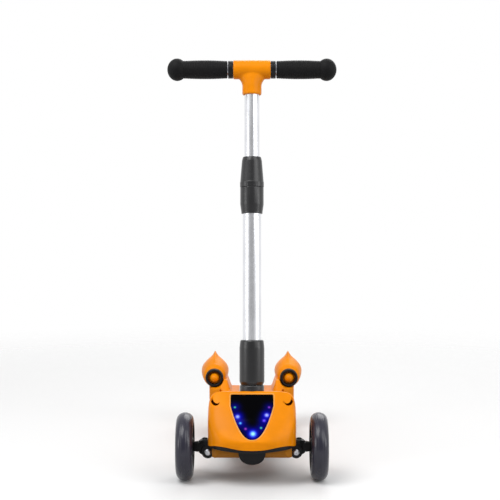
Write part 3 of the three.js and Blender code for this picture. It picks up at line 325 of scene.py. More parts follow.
class Value:
    def __init__(self, paint, socket):
        self.paint = paint
        self.socket = socket

    def __add__(self, other):
        return self.paint.maths("ADD", self, other)

    def __sub__(self, other):
        return self.paint.maths("SUBTRACT", self, other)

    def __rsub__(self, other):
        return self.paint.maths("SUBTRACT", other, self)

    def __mul__(self, other):
        return self.paint.maths("MULTIPLY", self, other)

    def __truediv__(self, other):
        return self.paint.maths("DIVIDE", self, other)

    def __pow__(self, other):
        return self.paint.maths("POWER", self, other)

    def between(self, low, high):
        # 0 below low and 1 above high, smooth between
        return self.paint.node("ShaderNodeMapRange", {"interpolation_type": "SMOOTHSTEP"},
                               {"Value": self, "From Min": low, "From Max": high})

    __radd__ = __add__
    __rmul__ = __mul__


class Nodes:
    # a node tree with short ways to add to it
    def __init__(self, tree):
        self.tree = tree

    def plug(self, socket, value):
        # links a value to a socket, or sets a colour or a number there
        if isinstance(value, Value):
            self.tree.links.new(value.socket, socket)
        elif hasattr(value, "__len__") and len(value) == 3 and len(socket.default_value) == 4:
            socket.default_value = (*value, 1)
        else:
            socket.default_value = value

    def node(self, kind, settings, inputs, output=0):
        # any node, by its type, its settings and its inputs, as the value of one output
        made = self.tree.nodes.new(kind)
        for key, value in settings.items():
            setattr(made, key, value)
        for key, value in inputs.items():
            self.plug(made.inputs[key], value)
        return Value(self, made.outputs[output])

    def maths(self, operation, *terms):
        return self.node("ShaderNodeMath", {"operation": operation}, dict(enumerate(terms)))

    def rays(self, *kinds):
        # 1 for a ray of any of the kinds
        seen = [self.node("ShaderNodeLightPath", {}, {}, "Is " + kind + " Ray") for kind in kinds]
        total = seen[0]
        for other in seen[1:]:
            total = self.maths("MAXIMUM", total, other)
        return total


class Paint(Nodes):
    def __init__(self, name, colour, roughness, **constants):
        self.material = bpy.data.materials.new(name)
        self.material.use_nodes = True
        super().__init__(self.material.node_tree)
        self.shader = self.tree.nodes["Principled BSDF"]
        self.heights = None
        self.put(Base_Color=colour, Roughness=roughness, **constants)

    def put(self, **inputs):
        for key, value in inputs.items():
            self.plug(self.shader.inputs[key.replace("_", " ")], value)
        return self

    def place(self):
        return self.node("ShaderNodeTexCoord", {}, {}, "Object")

    def parts(self, vector):
        made = self.tree.nodes.new("ShaderNodeSeparateXYZ")
        self.plug(made.inputs[0], vector)
        return [Value(self, made.outputs[axis]) for axis in "XYZ"]

    def stretched(self, scale):
        # the object's own coordinates, times a scale for each axis
        return self.node("ShaderNodeMapping", {}, {"Vector": self.place(), "Scale": scale})

    def vectors(self, operation, first, second, output="Vector"):
        return self.node("ShaderNodeVectorMath", {"operation": operation}, {0: first, 1: second}, output)

    def noise(self, scale, detail=3, vector=None):
        return self.node("ShaderNodeTexNoise", {}, {
            "Vector": vector or self.place(), "Scale": scale, "Detail": detail, "Roughness": 0.55})

    def mix(self, share, low, high):
        return self.node("ShaderNodeMix", {"data_type": "RGBA"}, {0: share, 6: low, 7: high}, 2)

    def relief(self, height, strength, distance):
        # adds a bump, its distance in millimetres, under those that are there already
        inputs = {"Height": height, "Strength": strength, "Distance": distance * mm}
        if self.heights is not None:
            inputs["Normal"] = self.heights
        self.heights = self.node("ShaderNodeBump", {}, inputs, "Normal")
        return self.put(Normal=self.heights)

    def scuffs(self):
        # fine crossing hairline scratches, strongest in a few worn patches
        strokes = self.noise(1, 2, self.stretched((900, 60, 90))).between(0.67, 0.72)
        crossed = self.noise(1, 2, self.stretched((70, 800, 110))).between(0.68, 0.73)
        patches = self.noise(38, 3).between(0.5, 0.72)
        return (strokes + crossed) * patches


def plastic(name, colour, rough, grain, grainDepth, worn=0.12, shine=0.3):
    # a moulded surface: cloudy tone, fine moulding grain, and hairline scuffs that catch the light
    paint = Paint(name, colour, rough, Specular_IOR_Level=shine)
    broad = paint.noise(21, 4)
    scuffs = paint.scuffs()
    darker = tuple(share * 0.86 for share in colour)
    dusty = tuple(share * 0.8 + 0.12 for share in colour)
    shade = paint.mix(broad.between(0.35, 0.7), darker, colour)
    paint.put(Base_Color=paint.mix(scuffs * worn, shade, dusty),
              Roughness=rough + (broad - 0.5) * 0.16 + scuffs * 0.2)
    paint.relief(paint.noise(grain, 2), 0.5, grainDepth)
    return paint.relief(scuffs, 0.2, -0.04)


def metal(name, colour, rough, along, lineDepth):
    # brushed or turned metal: lines drawn out along one axis, with a few handling marks
    paint = Paint(name, colour, rough, Metallic=1.0)
    lines = paint.noise(1, 3, paint.stretched(along))
    marks = paint.scuffs()
    cloud = paint.noise(26, 4)
    dull = tuple(share * 0.9 for share in colour)
    paint.put(Base_Color=paint.mix(cloud.between(0.3, 0.75), dull, colour),
              Roughness=rough + (lines - 0.5) * 0.12 + (cloud - 0.5) * 0.06 + marks * 0.08)
    return paint.relief(lines, 0.35, lineDepth)


def srgb(*levels):
    # display levels of 0 to 255 as linear light
    shares = np.array(levels) / 255
    return tuple(np.where(shares < 0.04045, shares / 12.92, ((shares + 0.055) / 1.055) ** 2.4))


orangePaint = plastic("orangePlastic", srgb(252, 148, 0), 0.34, 1500, 0.03, worn=0.05, shine=0.13)
# the tray's orange is darkened to stand in for the shade under the shell's overhang (painted shade)
shadedTrayPaint = plastic("orangePlasticPaintedShade", srgb(196, 124, 24), 0.4, 1500, 0.03, worn=0.05, shine=0.2)
blackPaint = plastic("blackPlastic", srgb(14, 14, 16), 0.42, 2600, 0.07, worn=0.04, shine=0.22)
greyPaint = plastic("greyPlastic", srgb(27, 27, 29), 0.3, 2400, 0.04, worn=0.05, shine=0.52)
bracketPaint = plastic("blackCoatedSteel", srgb(14, 14, 16), 0.4, 1800, 0.04, shine=0.2)
# the visor bead's pale orange is a painted highlight along the window's edge
rimHighlightPaint = plastic("paleOrangeBeadPaintedHighlight", srgb(252, 172, 70), 0.25, 1500, 0.02, worn=0.02)
darkPaint = metal("darkSteel", srgb(96, 97, 102), 0.38, (520, 520, 520), 0.03)
paintOfSlot = {
    "orange_plastic": orangePaint, "black_plastic": blackPaint, "grey_plastic": greyPaint,
    "dark_steel": darkPaint,
    "column_aluminium": metal("columnAluminium", srgb(232, 233, 237), 0.24, (1500, 1500, 34), 0.007),
    "bright_steel": metal("brightSteel", srgb(190, 191, 196), 0.3, (420, 420, 420), 0.02),
    "wheel_urethane": plastic("wheelUrethane", srgb(40, 39, 54), 0.24, 1300, 0.03, worn=0.1, shine=0.45),
    "grip_rubber": plastic("gripRubber", srgb(13, 13, 14), 0.6, 2100, 0.12, worn=0.03, shine=0.14),
    "mat_rubber": plastic("matRubber", srgb(30, 30, 33), 0.7, 1900, 0.12),
    "lamp_board": plastic("lampBoard", srgb(16, 62, 38), 0.4, 900, 0.03, worn=0.02)}
for node, thing in frame["nodes"].items():
    thing.data.materials.clear()
    thing.data.materials.append(paintOfSlot.get(slotOfNode[node], blackPaint).material)
print("paints ready")


# Column and handlebar: turned pieces along the raked line

frontAxle = Vector(joints["front_wheel_left_spin"]["pos_m"])
columnPlace = onAxis(foot, columnAxis)
release = {"along": 50, "radius": 6, "play": 0.6, "reach": 26}
releaseAxis = Vector((0, columnAxis.z, -columnAxis.y))


def upColumn(distance):
    # the place that many millimetres up the column
    return foot + columnAxis * (distance * mm)


def columnTurned(node, corners, radius, flute=None, segments=128, buttonRoom=False):
    # a profile turned about the column; buttonRoom opens its back for the release button
    piece = turned(node + "Turned", rounded(corners, radius), columnPlace, segments, flute)
    if buttonRoom:
        carve(piece, turned("buttonRoom", rod(release["radius"] + release["play"], 0, release["reach"]),
                            onAxis(upColumn(release["along"]), releaseAxis), 64))
    standFor(piece, node)


# Corners of the profiles, as pairs of radius and distance up the column from its foot
columnProfiles = {
    "base_ring": [(16.9, -9), (21.7, -9), (21.7, 9.4), (20.5, 11), (16.9, 11)],
    "base_collar": [(16.9, 11.3), (19.8, 11.3), (22.4, 17.3), (22.4, 77.4), (21.1, 89.4), (19.7, 91.4),
                    (16.9, 91.4)],
    "clamp_body": [(16.9, 319), (19.2, 319), (19.2, 322), (21.2, 335.8), (21.2, 366.7), (16.9, 366.7)],
    "clamp_nut": [(17.2, 367), (21.6, 367), (21.6, 369.2), (21.6, 374), (21.6, 376), (21.2, 376.7),
                  (18.1, 415), (17, 419.5), (16.2, 422), (14.2, 422), (14.2, 397), (17.2, 379)]}
nutRib = {"top": 376, "inner": 21.2, "count": 30, "depth": 0.2}


def nutRibs(angle, height, radius):
    # shallow finger ribs round the lip, faded out above it: a raised cosine cut off at its foot
    fade = np.clip((nutRib["top"] - height) / 3, 0, 1)
    outer = np.clip((radius - nutRib["inner"]) / 0.5, 0, 1)
    return -nutRib["depth"] * fade * outer * np.clip(-2 * np.cos(angle * nutRib["count"]) - 0.8, 0, 1)


columnTurned("base_ring", columnProfiles["base_ring"], 0.7)
columnTurned("base_collar", columnProfiles["base_collar"], 0.8, buttonRoom=True)
columnTurned("clamp_body", columnProfiles["clamp_body"], 0.7)
columnTurned("clamp_nut", columnProfiles["clamp_nut"], 0.9, nutRibs, 240)

# The tubes have the CAD nodes' own span and radius
tubeWall = 2.2
for node in ("lower_tube", "upper_tube"):
    low, high, radius = columnSpan(node)
    columnTurned(node, [(radius - tubeWall, low), (radius, low), (radius, (low + high) / 2), (radius, high),
                        (radius - tubeWall, high)], 0.5, buttonRoom=node == "lower_tube")

# The tee: a sleeve with a bead at each end, melted into a stub that flares out to meet it
barHeight = 582
barCentre = upColumn(barHeight)
barPlace = onAxis(barCentre, (1, 0, 0))
tee = {"radius": 17.3, "half": 34, "bore": 11.3, "stub": 17.5, "stubLow": 535.5, "stubBore": 13.9,
       "flare": 26, "flareHeight": 30, "flarePower": 1.8, "widest": 31, "flatten": 3, "grain": 0.8,
       "melt": 20}


def teeJoint():
    # stub: an ellipse whose width across grows as a power of the height above the flare's start,
    # while its depth draws in a little; then the two skins are melted into one
    body = turned("teeSleeve", rounded(rod(tee["radius"], -tee["half"], tee["half"]), 1.6), barPlace, 160)
    height = np.concatenate([tee["stubLow"] + np.array([0, 0, 0.5, 1.4]),
                             np.linspace(tee["stubLow"] + 4, barHeight, 40)])
    drawn = np.concatenate([[-tee["stub"], -1.4, -0.4], np.zeros(41)])
    share = np.clip((height - barHeight + tee["flareHeight"]) / tee["flareHeight"], 0, 1)
    turn = around(128)
    across = np.minimum(tee["stub"] + drawn + tee["flare"] * share ** tee["flarePower"], tee["widest"])
    deep = tee["stub"] + drawn - tee["flatten"] * share
    grid = np.stack([across[:, None] * np.cos(turn), deep[:, None] * np.sin(turn),
                     height[:, None] + 0 * turn], -1)
    facing = np.array(columnPlace.to_3x3().inverted() @ Vector((1, 0, 0)))[:2]
    bend = np.array([[facing[0], -facing[1]], [facing[1], facing[0]]])
    grid[..., :2] = grid[..., :2] @ bend.T
    carve(body, sheetOf("teeStub", moved(grid, columnPlace)), operation="UNION")
    changed(body, ("REMESH", {"mode": "VOXEL", "voxel_size": tee["grain"] * mm}),
            ("SMOOTH", {"factor": 0.5, "iterations": tee["melt"]}))
    carve(body, turned("barBore", rod(tee["bore"], -40, 40), barPlace, 96),
          turned("stubBore", rod(tee["stubBore"], tee["stubLow"] - 4, barHeight - 8), columnPlace, 96))
    standFor(body, "tee_joint")


teeJoint()

collarEnd = {"bore": 11.3, "radius": 16, "near": 34.3, "far": 43.3}
gripShape = {"bore": 11.3, "near": 44.6, "far": 154, "inner": 15.6, "radius": 17, "waist": 15.8,
             "ball": 20.3, "ballHalf": 18, "ribs": 26, "ribDepth": 0.55}


def gripOutline():
    # from the bore out along the barrel, with raised rings, down to the waist and round the ball,
    # a half ellipse shorter than it is wide
    ball = gripShape["far"] - gripShape["ballHalf"]
    waist = ball - gripShape["ballHalf"] * math.sqrt(1 - (gripShape["waist"] / gripShape["ball"]) ** 2)
    along = np.linspace(gripShape["near"] + 1.2, waist, 210)
    share = (along - gripShape["near"]) / (waist - gripShape["near"])
    barrel = gripShape["inner"] + (gripShape["radius"] - gripShape["inner"]) * np.sin(math.pi * share) ** 0.8
    barrel += (gripShape["waist"] - gripShape["inner"]) * share
    ribbed = np.clip(np.minimum(share - 0.04, 0.97 - share) / 0.02, 0, 1)
    wave = 0.5 - 0.5 * np.cos(circle * gripShape["ribs"] * share)
    barrel -= gripShape["ribDepth"] * ribbed * wave ** 2
    turn = np.linspace(math.pi - math.asin(gripShape["waist"] / gripShape["ball"]), 0, 40)[1:]
    end = np.stack([gripShape["ball"] * np.sin(turn), ball + gripShape["ballHalf"] * np.cos(turn)], -1)
    opening = [(gripShape["bore"], gripShape["near"]), (gripShape["inner"] - 0.8, gripShape["near"])]
    inside = [(0, gripShape["far"] - 5), (gripShape["bore"], gripShape["far"] - 5)]
    return np.vstack([opening, np.stack([barrel, along], -1), end, inside])


for sideName, side in sides.items():
    outward = onAxis(barCentre, (side, 0, 0))
    corners = sleeve(collarEnd["bore"], collarEnd["radius"], collarEnd["near"], collarEnd["far"])
    standFor(turned("barCollar", rounded(corners, 1.3), outward, 128), "bar_collar_" + sideName)
    standFor(turned("grip", gripOutline(), outward, 128), "grip_" + sideName, smooth=50)
print("column ready")


# Wheels

wheelShape = {"depth": 17, "web": 9, "bossRadius": 15, "rimWall": 4.5, "rimGap": 0.3, "rimInset": 1.5,
              "spokes": 6, "spokeWidth": 8, "bearing": 11.2, "shoulder": 0.94, "groove": 0.45, "edge": 2.4}


def tyre(node):
    # a tread between two beads, with a bell curve taken off for each groove
    half, radius = nodeSize(node)[0] / 2, nodeSize(node)[2] / 2
    inner = radius - wheelShape["depth"]
    shoulder = wheelShape["shoulder"] * half
    # the tread: nearly level in the middle, rounding down to the flank as an ellipse
    turn = np.linspace(math.pi, 0, 61)
    across = half * np.cos(turn)
    rise = radius - shoulder + shoulder * np.sin(turn) ** 0.93
    for groove in (-0.34, 0.34):
        rise -= wheelShape["groove"] * np.exp(-((across / half - groove) / 0.035) ** 2)
    edge = inner + wheelShape["edge"]
    bead = np.array([(inner, half - 1.4), (inner + 0.8, half - 0.5), (edge, half)])
    outline = np.vstack([bead * (1, -1), np.stack([rise, across], -1)[1:-1], bead[::-1]])
    outline = outline[(outline[:, 0] > radius - shoulder - 1e-3) | (outline[:, 0] < edge + 0.1)]
    standFor(turned(node, outline, onAxis(nodeCentre(node), (1, 0, 0)), 160), node)


def hub(node, tyreNode):
    # rim and boss as turned rings, and boxy spokes between them, which grow towards both ends by a
    # fourth power, all in one moulding
    centre = nodeCentre(tyreNode)
    place = onAxis(centre, (1, 0, 0))
    rim = nodeSize(tyreNode)[2] / 2 - wheelShape["depth"] - wheelShape["rimGap"]
    rimHalf = nodeSize(tyreNode)[0] / 2 - wheelShape["rimInset"]
    inner = rim - wheelShape["rimWall"]
    bossLow, bossHigh = ((corner[0] - centre[0]) / mm for corner in nodeBox(node))
    boss = sleeve(wheelShape["bearing"], wheelShape["bossRadius"], bossLow, bossHigh)
    rimShape = sleeve(inner, rim, -rimHalf, rimHalf) + [(inner - 1.2, 0)]
    parts = [turned("rim", rounded(rimShape, 1), place, 128), turned("boss", rounded(boss, 1), place, 96)]
    along = np.linspace(wheelShape["bossRadius"] - 2, inner + 1.5, 14)
    share = (along - along[0]) / (along[-1] - along[0])
    width = wheelShape["spokeWidth"] / 2 * (1 + 0.5 * (2 * share - 1) ** 4)
    depth = wheelShape["web"] / 2 * (1 + 0.35 * (2 * share - 1) ** 4)
    turn = around(24)
    grid = np.stack([along[:, None] + 0 * turn, width[:, None] * boxy(np.cos(turn), 0.45),
                     depth[:, None] * boxy(np.sin(turn), 0.45)], -1)
    for angle in around(wheelShape["spokes"]):
        parts.append(sheetOf("spoke", moved(grid, place @ Matrix.Rotation(angle, 4, "Z"))))
    standFor(joinedObjects(parts), node, blackPaint)


for wheel in ("front_wheel_left", "front_wheel_right", "rear_wheel"):
    tyre(wheel + "_tyre")
    hub(wheel + "_hub", wheel + "_tyre")
print("wheels ready")


# Front shell. Seen from the side it runs from an upright nose up the hood to a ledge, then down its
# tail; seen from above it has a blunt nose; each section across is an arch with squared shoulders.

shell = {"nose": 70, "half": 78, "bottom": 67, "top": 158.6, "fall": 0.166, "wall": 2.6, "noseHeight": 15,
         "hood": 70, "ledge": 48, "tail": 44, "tailHeight": 96, "tailHalf": 66, "flank": 65, "planPower": 3,
         "noseShoulder": 3.5, "topShoulder": 8.5, "crown": 0.05}
shellLength = shell["hood"] + shell["ledge"] + shell["tail"]
topView = Matrix.Translation((0, frontAxle.y, 0))
frontView = topView @ Matrix.Rotation(math.radians(90), 4, "X")
sideView = topView @ Matrix(((0, 0, 1, 0), (1, 0, 0, 0), (0, 1, 0, 0), (0, 0, 0, 1)))


def designPoints(x, y, z):
    # points in millimetres behind the front axle, as metres in the frame
    return moved(np.stack(np.broadcast_arrays(x, y, z), -1), topView)


def shellProfile(along):
    # the hood rises as a line with a half sine on it, the ledge falls towards the back, square to the
    # leaning column, and the tail is a smooth step down; the plan is a curve of the nose's power
    hoodFoot = shell["bottom"] + shell["noseHeight"]
    hood = np.clip(along / shell["hood"], 0, 1)
    tail = smoothStep((along - shell["hood"] - shell["ledge"]) / shell["tail"])
    rise = (shell["top"] - hoodFoot) * (hood + shell["crown"] * np.sin(math.pi * hood))
    fall = shell["fall"] * np.clip(along - shell["hood"], 0, shell["ledge"] + shell["tail"] / 2)
    height = (hoodFoot + rise - fall) * (1 - tail) + shell["tailHeight"] * tail
    flank = np.clip(along / shell["flank"], 0, 1)
    plan = (1 - (1 - flank) ** shell["planPower"]) ** (1 / shell["planPower"])
    taper = np.clip((along - shell["flank"]) / (shellLength - shell["flank"]), 0, 1)
    half = (shell["half"] * (1 - taper) + shell["tailHalf"] * taper) * plan
    return height, half, shell["noseShoulder"] * (1 - hood) + shell["topShoulder"] * hood


def shellSkin(name, start, end, inset, bottom):
    # stations drawn towards the nose; the section's steps are even in angle
    along = start + (end - start) * np.linspace(0, 1, 110) ** 1.6
    height, half, power = (values[:, None] for values in shellProfile(along))
    turn = np.linspace(0, math.pi, 96)[None, :]
    x = np.maximum(half - inset, 0.3) * boxy(np.cos(turn), 2 / power)
    z = shell["bottom"] + (height - inset - shell["bottom"]) * np.abs(np.sin(turn)) ** (2 / power)
    x = np.concatenate([x, x[:, -1:], x[:, :1]], axis=1)
    z = np.concatenate([z, np.full((len(z), 2), bottom)], axis=1)
    return sheetOf(name, designPoints(x, along[:, None] - shell["nose"], z))


visorShape = {"half": 37.6, "top": 153.4, "tip": 86, "side": 0.743, "power": 2.25, "corner": 0.06}


def visorOutline(grow):
    # level at the top, straight down the sides for a little, then drawn in to a round tip
    half = visorShape["half"] + grow
    top = visorShape["top"] + grow
    tip = visorShape["tip"] - grow
    share = np.linspace(0, 1, 33)
    side = np.stack([half * share, tip + (top - tip) * visorShape["side"] * share ** visorShape["power"]], -1)
    corner = half * visorShape["corner"]
    right = np.vstack([side, [(half, top - corner), (half - corner * 0.3, top - corner * 0.3),
                              (half - corner, top)]])
    return np.vstack([right, right[:0:-1] * (-1, 1)])


def hoodPlace(x, z):
    # the place on the hood's skin behind a point of the front view, found by halving
    near = np.full(np.shape(x), 0.4)
    far = np.full(np.shape(x), float(shell["hood"]))
    for step in range(40):
        along = (near + far) / 2
        height, half, power = shellProfile(along)
        rise = (z - shell["bottom"]) / (height - shell["bottom"])
        inside = (np.abs(x) / half) ** power + rise ** power < 1
        near = np.where(inside, near, along)
        far = np.where(inside, along, far)
    return designPoints(x, (near + far) / 2 - shell["nose"], z)


scoop = {"across": 64.5, "up": 144.8, "outer": 8.6, "inner": 7.4, "shift": 3.8, "open": 105, "face": 44,
         "deep": 12}


def shoulderScoop(side):
    # a crescent between two arcs, thickest towards the face angle below the shell's shoulder
    half = math.radians(scoop["open"])
    turn = np.linspace(-half, half, 30)
    arc = np.stack([np.cos(turn), np.sin(turn)], -1)
    outline = np.vstack([scoop["outer"] * arc, (scoop["inner"] * arc[1:-1] - (scoop["shift"], 0))[::-1]])
    face = math.radians(-scoop["face"] if side > 0 else 180 + scoop["face"])
    facing = np.array([[math.cos(face), -math.sin(face)], [math.sin(face), math.cos(face)]])
    outline = outline @ facing.T + (side * scoop["across"], scoop["up"])
    skin = (hoodPlace(np.array(side * scoop["across"]), np.array(scoop["up"] - 4))[1] - frontAxle.y) / mm
    return prism("scoop", outline, frontView, -(skin + scoop["deep"]), 80)


# The hood's skin ends in an arc, with a black band set back below it as painted shade: it stands for the shadow in
# the gap under the shell's edge
lip = {"low": 62.6, "lowRise": 4.2, "top": 80, "inset": 1.0, "thick": 1.8, "edge": 0.3, "bend": 79}
edgeAcross = (0, 20, 33, 45, 56, 63, 69, 73, 78)
edgeHeight = (67.3, 68.4, 70.4, 72.4, 73.2, 72.9, 71.4, 69.6, 67.8)


def lowerEdge():
    # everything ahead of the wheel arches and below the edge, in the front view
    x = np.linspace(-86, 86, 80)
    arc = np.column_stack([x, eased(np.minimum(np.abs(x), edgeAcross[-1]), edgeAcross, edgeHeight)])
    return prism("lowerEdge", np.vstack([arc, [(86, 50), (-86, 50)]]), frontView, 22, 80)


def shellShadowLip():
    # follows the shell's plan from one wheel arch round the nose to the other
    turn = np.radians(np.linspace(-lip["bend"], lip["bend"], 161))[:, None]
    plan = np.abs(np.sin(turn)) ** (2 / shell["planPower"])
    back = 1 - np.abs(np.cos(turn)) ** (2 / shell["planPower"])
    thick, edge = lip["thick"], lip["edge"]
    inset = lip["inset"] + np.array([0, 0, edge, thick - edge, thick, thick])
    low = lip["low"] + lip["lowRise"] * np.sin(plan * math.pi / 2) ** 2
    top = lip["top"] + 0 * low
    band = sheetOf("shellShadowLip", designPoints(
        np.sign(turn) * (shell["half"] - inset) * plan,
        inset + (shell["flank"] - inset) * back - shell["nose"],
        np.concatenate([top, low + edge, low, low, low + edge, top], axis=1)))
    # painted shade: a black sheet where the gap under the shell's edge is only in shadow
    dress(band, blackPaint, "chassis", "black_plastic")


# Cuts in the shell: the wheel arch in the side view, and in plan the deck with its narrower front
arch = {"middle": 20, "reach": 24, "back": 44, "foot": 60, "spring": 86}
deckRoom = {"front": 42, "frontHalf": 51.6, "wideFrom": 111.5, "half": 65.4, "back": 330, "low": 60,
            "high": 90.3}


def frontShell():
    # the outer skin, less the inner one and less every opening, with its edges rounded
    outer = shellSkin("shellOuter", 0.3, shellLength, 0, shell["bottom"] - 0.3)
    inner = shellSkin("shellInner", shell["wall"], shellLength - shell["wall"], shell["wall"],
                      shell["bottom"] - 4)
    right = [(deckRoom["frontHalf"], deckRoom["front"]), (deckRoom["half"], deckRoom["wideFrom"]),
             (deckRoom["half"], deckRoom["back"])]
    deckPlan = right + [(-x, y) for x, y in right[::-1]]
    bend = quarter(16)
    rise = arch["spring"] + arch["reach"] * np.sin(bend)
    archOutline = np.vstack([[(-arch["reach"], arch["foot"]), (arch["back"], arch["foot"])],
                             np.column_stack([arch["middle"] + arch["reach"] * np.cos(bend), rise]),
                             np.column_stack([-arch["reach"] * np.cos(bend), rise])[::-1]])
    carve(outer, inner, prism("deckRoom", deckPlan, topView, deckRoom["low"], deckRoom["high"]),
          prism("arches", archOutline, sideView, -84, 84),
          turned("columnHole", rod(22.3, -40, 40), columnPlace, 96),
          prism("window", visorOutline(0.3), frontView, -22, 80),
          lowerEdge(), *[shoulderScoop(side) for side in sides.values()])
    changed(outer, bevel(0.5, 40))
    standFor(cleaned(outer), "front_shell")


# Lamps behind the dark visor: place across and up in millimetres, colour, and size of the bright spot
lamps = [
    ((-30, 134.6), srgb(70, 210, 120), 1.5, 0.7), ((-25.1, 120.6), srgb(150, 170, 255), 2.6, 1.0),
    ((-20.3, 110.9), srgb(90, 190, 255), 1.8, 0.8), ((-11.2, 102.4), srgb(170, 70, 200), 1.8, 0.6),
    ((1.6, 95), srgb(140, 215, 255), 3.4, 1.3), ((15.7, 103.8), srgb(80, 220, 160), 1.5, 0.7),
    ((21, 114.8), srgb(110, 80, 235), 2.2, 0.8), ((25.7, 122.9), srgb(165, 175, 255), 2.6, 1.0),
    ((30, 134.6), srgb(150, 70, 215), 1.7, 0.6)]
haloColour = srgb(14, 10, 235)
haloSize = 7.4


def lampPaint():
    # each lamp fades as a bell curve of the distance from it, with a wide blue halo round it
    paint = plastic("visorPlastic", srgb(2, 2, 4), 0.07, 1200, 0.004, worn=0.01, shine=0.02)
    black = (0, 0, 0)
    total = black
    halos = 0
    for (x, z), colour, size, power in lamps:
        spot = tuple(hoodPlace(np.array(float(x)), np.array(float(z))))
        away = paint.vectors("DISTANCE", paint.place(), spot, "Value")
        core = paint.maths("EXPONENT", (away / (size * mm)) ** 2 * -1) * power
        halos = halos + paint.maths("EXPONENT", (away / (haloSize * mm)) ** 2 * -1) * power ** 3
        total = paint.vectors("ADD", total, paint.mix(core, black, colour))
    flicker = 0.75 + paint.noise(420, 2) * 0.5
    total = paint.vectors("ADD", total, paint.mix(halos * 0.5 * flicker, black, haloColour))
    return paint.put(Emission_Color=total, Emission_Strength=1.5)


def visor():
    # the shell's own skin, set in by a hair and cut down to the window's outline
    skin = shellSkin("visor", 0.3, shellLength, 0.05, shell["bottom"])
    carve(skin, shellSkin("visorInner", shell["wall"], shellLength - shell["wall"], shell["wall"] - 0.2,
                          shell["bottom"] - 4))
    carve(skin, prism("visorKeep", visorOutline(-0.25), frontView, 1, 80), operation="INTERSECT")
    standFor(cleaned(skin), "visor", lampPaint())


def visorRim():
    # a round bead along the window's edge, half sunk in the skin, and painted paler orange than the shell as a
    # painted highlight
    outline = visorOutline(1.3)
    outline = np.vstack([outline, outline[:1]])
    length = np.concatenate([[0], np.cumsum(np.hypot(*np.diff(outline, axis=0).T))])
    even = np.linspace(0, length[-1], 420, endpoint=False)
    x = np.interp(even, length, outline[:, 0])
    middle = hoodPlace(x, np.minimum(np.interp(even, length, outline[:, 1]), shell["top"] - 2.2))
    tangent = np.roll(middle, -1, 0) - np.roll(middle, 1, 0)
    tangent /= np.linalg.norm(tangent, axis=1)[:, None]
    aside = np.cross(tangent, np.array([0, -1, 0.4]))
    aside /= np.linalg.norm(aside, axis=1)[:, None]
    outward = np.cross(aside, tangent)
    turn = around(12)[None, :, None]
    bead = aside[:, None] * np.cos(turn) * 1.2 + outward[:, None] * np.sin(turn) * 0.8
    grid = middle[:, None] + bead * mm
    grid = np.concatenate([grid, grid[:1]])
    rim = cleaned(newObject("visorRim", grid, gridFaces(*grid.shape[:2], True)))
    dress(rim, rimHighlightPaint, "chassis", "orange_plastic")


frontShell()
shellShadowLip()
visor()
visorRim()
print("shell ready")


# Boosters: a bulged shell whose top is drawn up into a fin, with a seam line, an intake ring and
# cone ahead of it and a flared nozzle behind

booster = {"radius": 29.6, "fin": 0.4, "finAngle": 8.2, "finRound": 1.5, "finCrowd": 0.315, "shoulder": 0.06,
           "lift": 8, "low": 12.3, "high": 100, "seam": 0.011, "ring": 19.2, "ringWall": 6, "ringLength": 12,
           "lip": 3.2, "groove": 0.4, "cone": 10.8, "coneLength": 16, "nozzle": 17, "mouth": 20,
           "nozzleLength": 16, "nozzleWall": 2.4}
boosterPlaces = np.array([0, 0.05, 0.2, 0.38, 0.55, 0.68, 0.8, 0.92, 1])
boosterRadii = np.array([0.62, 0.74, 0.88, 0.97, 1, 0.99, 0.93, 0.8, 0.66])
boosterFins = np.array([0, 0, 0.08, 0.4, 0.85, 1, 0.75, 0.2, 0])
boosterLifts = np.array([0, 0.12, 0.5, 0.85, 1, 1, 0.8, 0.35, 0])


def boosterShell():
    # the section is a circle that draws in at its upper shoulders, by the square of the sine of twice
    # the angle from its top, and rises into the fin as a falling exponential of that angle; its points
    # crowd towards the fin by a sine
    share = np.linspace(0, 1, 90)
    seam = booster["seam"] * sum(np.exp(-((share - place) / 0.008) ** 2) for place in (0.87, 0.16))
    radius = booster["radius"] * np.minimum(eased(share, boosterPlaces, boosterRadii) - seam, 1)
    fin = np.clip(eased(share, boosterPlaces, boosterFins), 0, 1)[:, None]
    turn = around(192) + math.pi / 2
    turn = turn - booster["finCrowd"] * np.sin(turn - math.pi / 2)
    away = np.degrees(np.abs((turn + math.pi / 2) % circle - math.pi))
    past = booster["finRound"] - np.hypot(away, booster["finRound"])
    peak = booster["fin"] * np.exp(past / booster["finAngle"])
    dip = booster["shoulder"] * np.where(away < 90, np.sin(np.radians(2 * away)) ** 2, 0)
    reach = radius[:, None] * (1 + fin * (peak - dip))
    along = booster["low"] + (booster["high"] - booster["low"]) * share[:, None]
    lift = booster["lift"] * np.clip(eased(share, boosterPlaces, boosterLifts), 0, 1)[:, None]
    return np.stack([reach * np.cos(turn), along + 0 * reach, lift + reach * np.sin(turn)], -1)


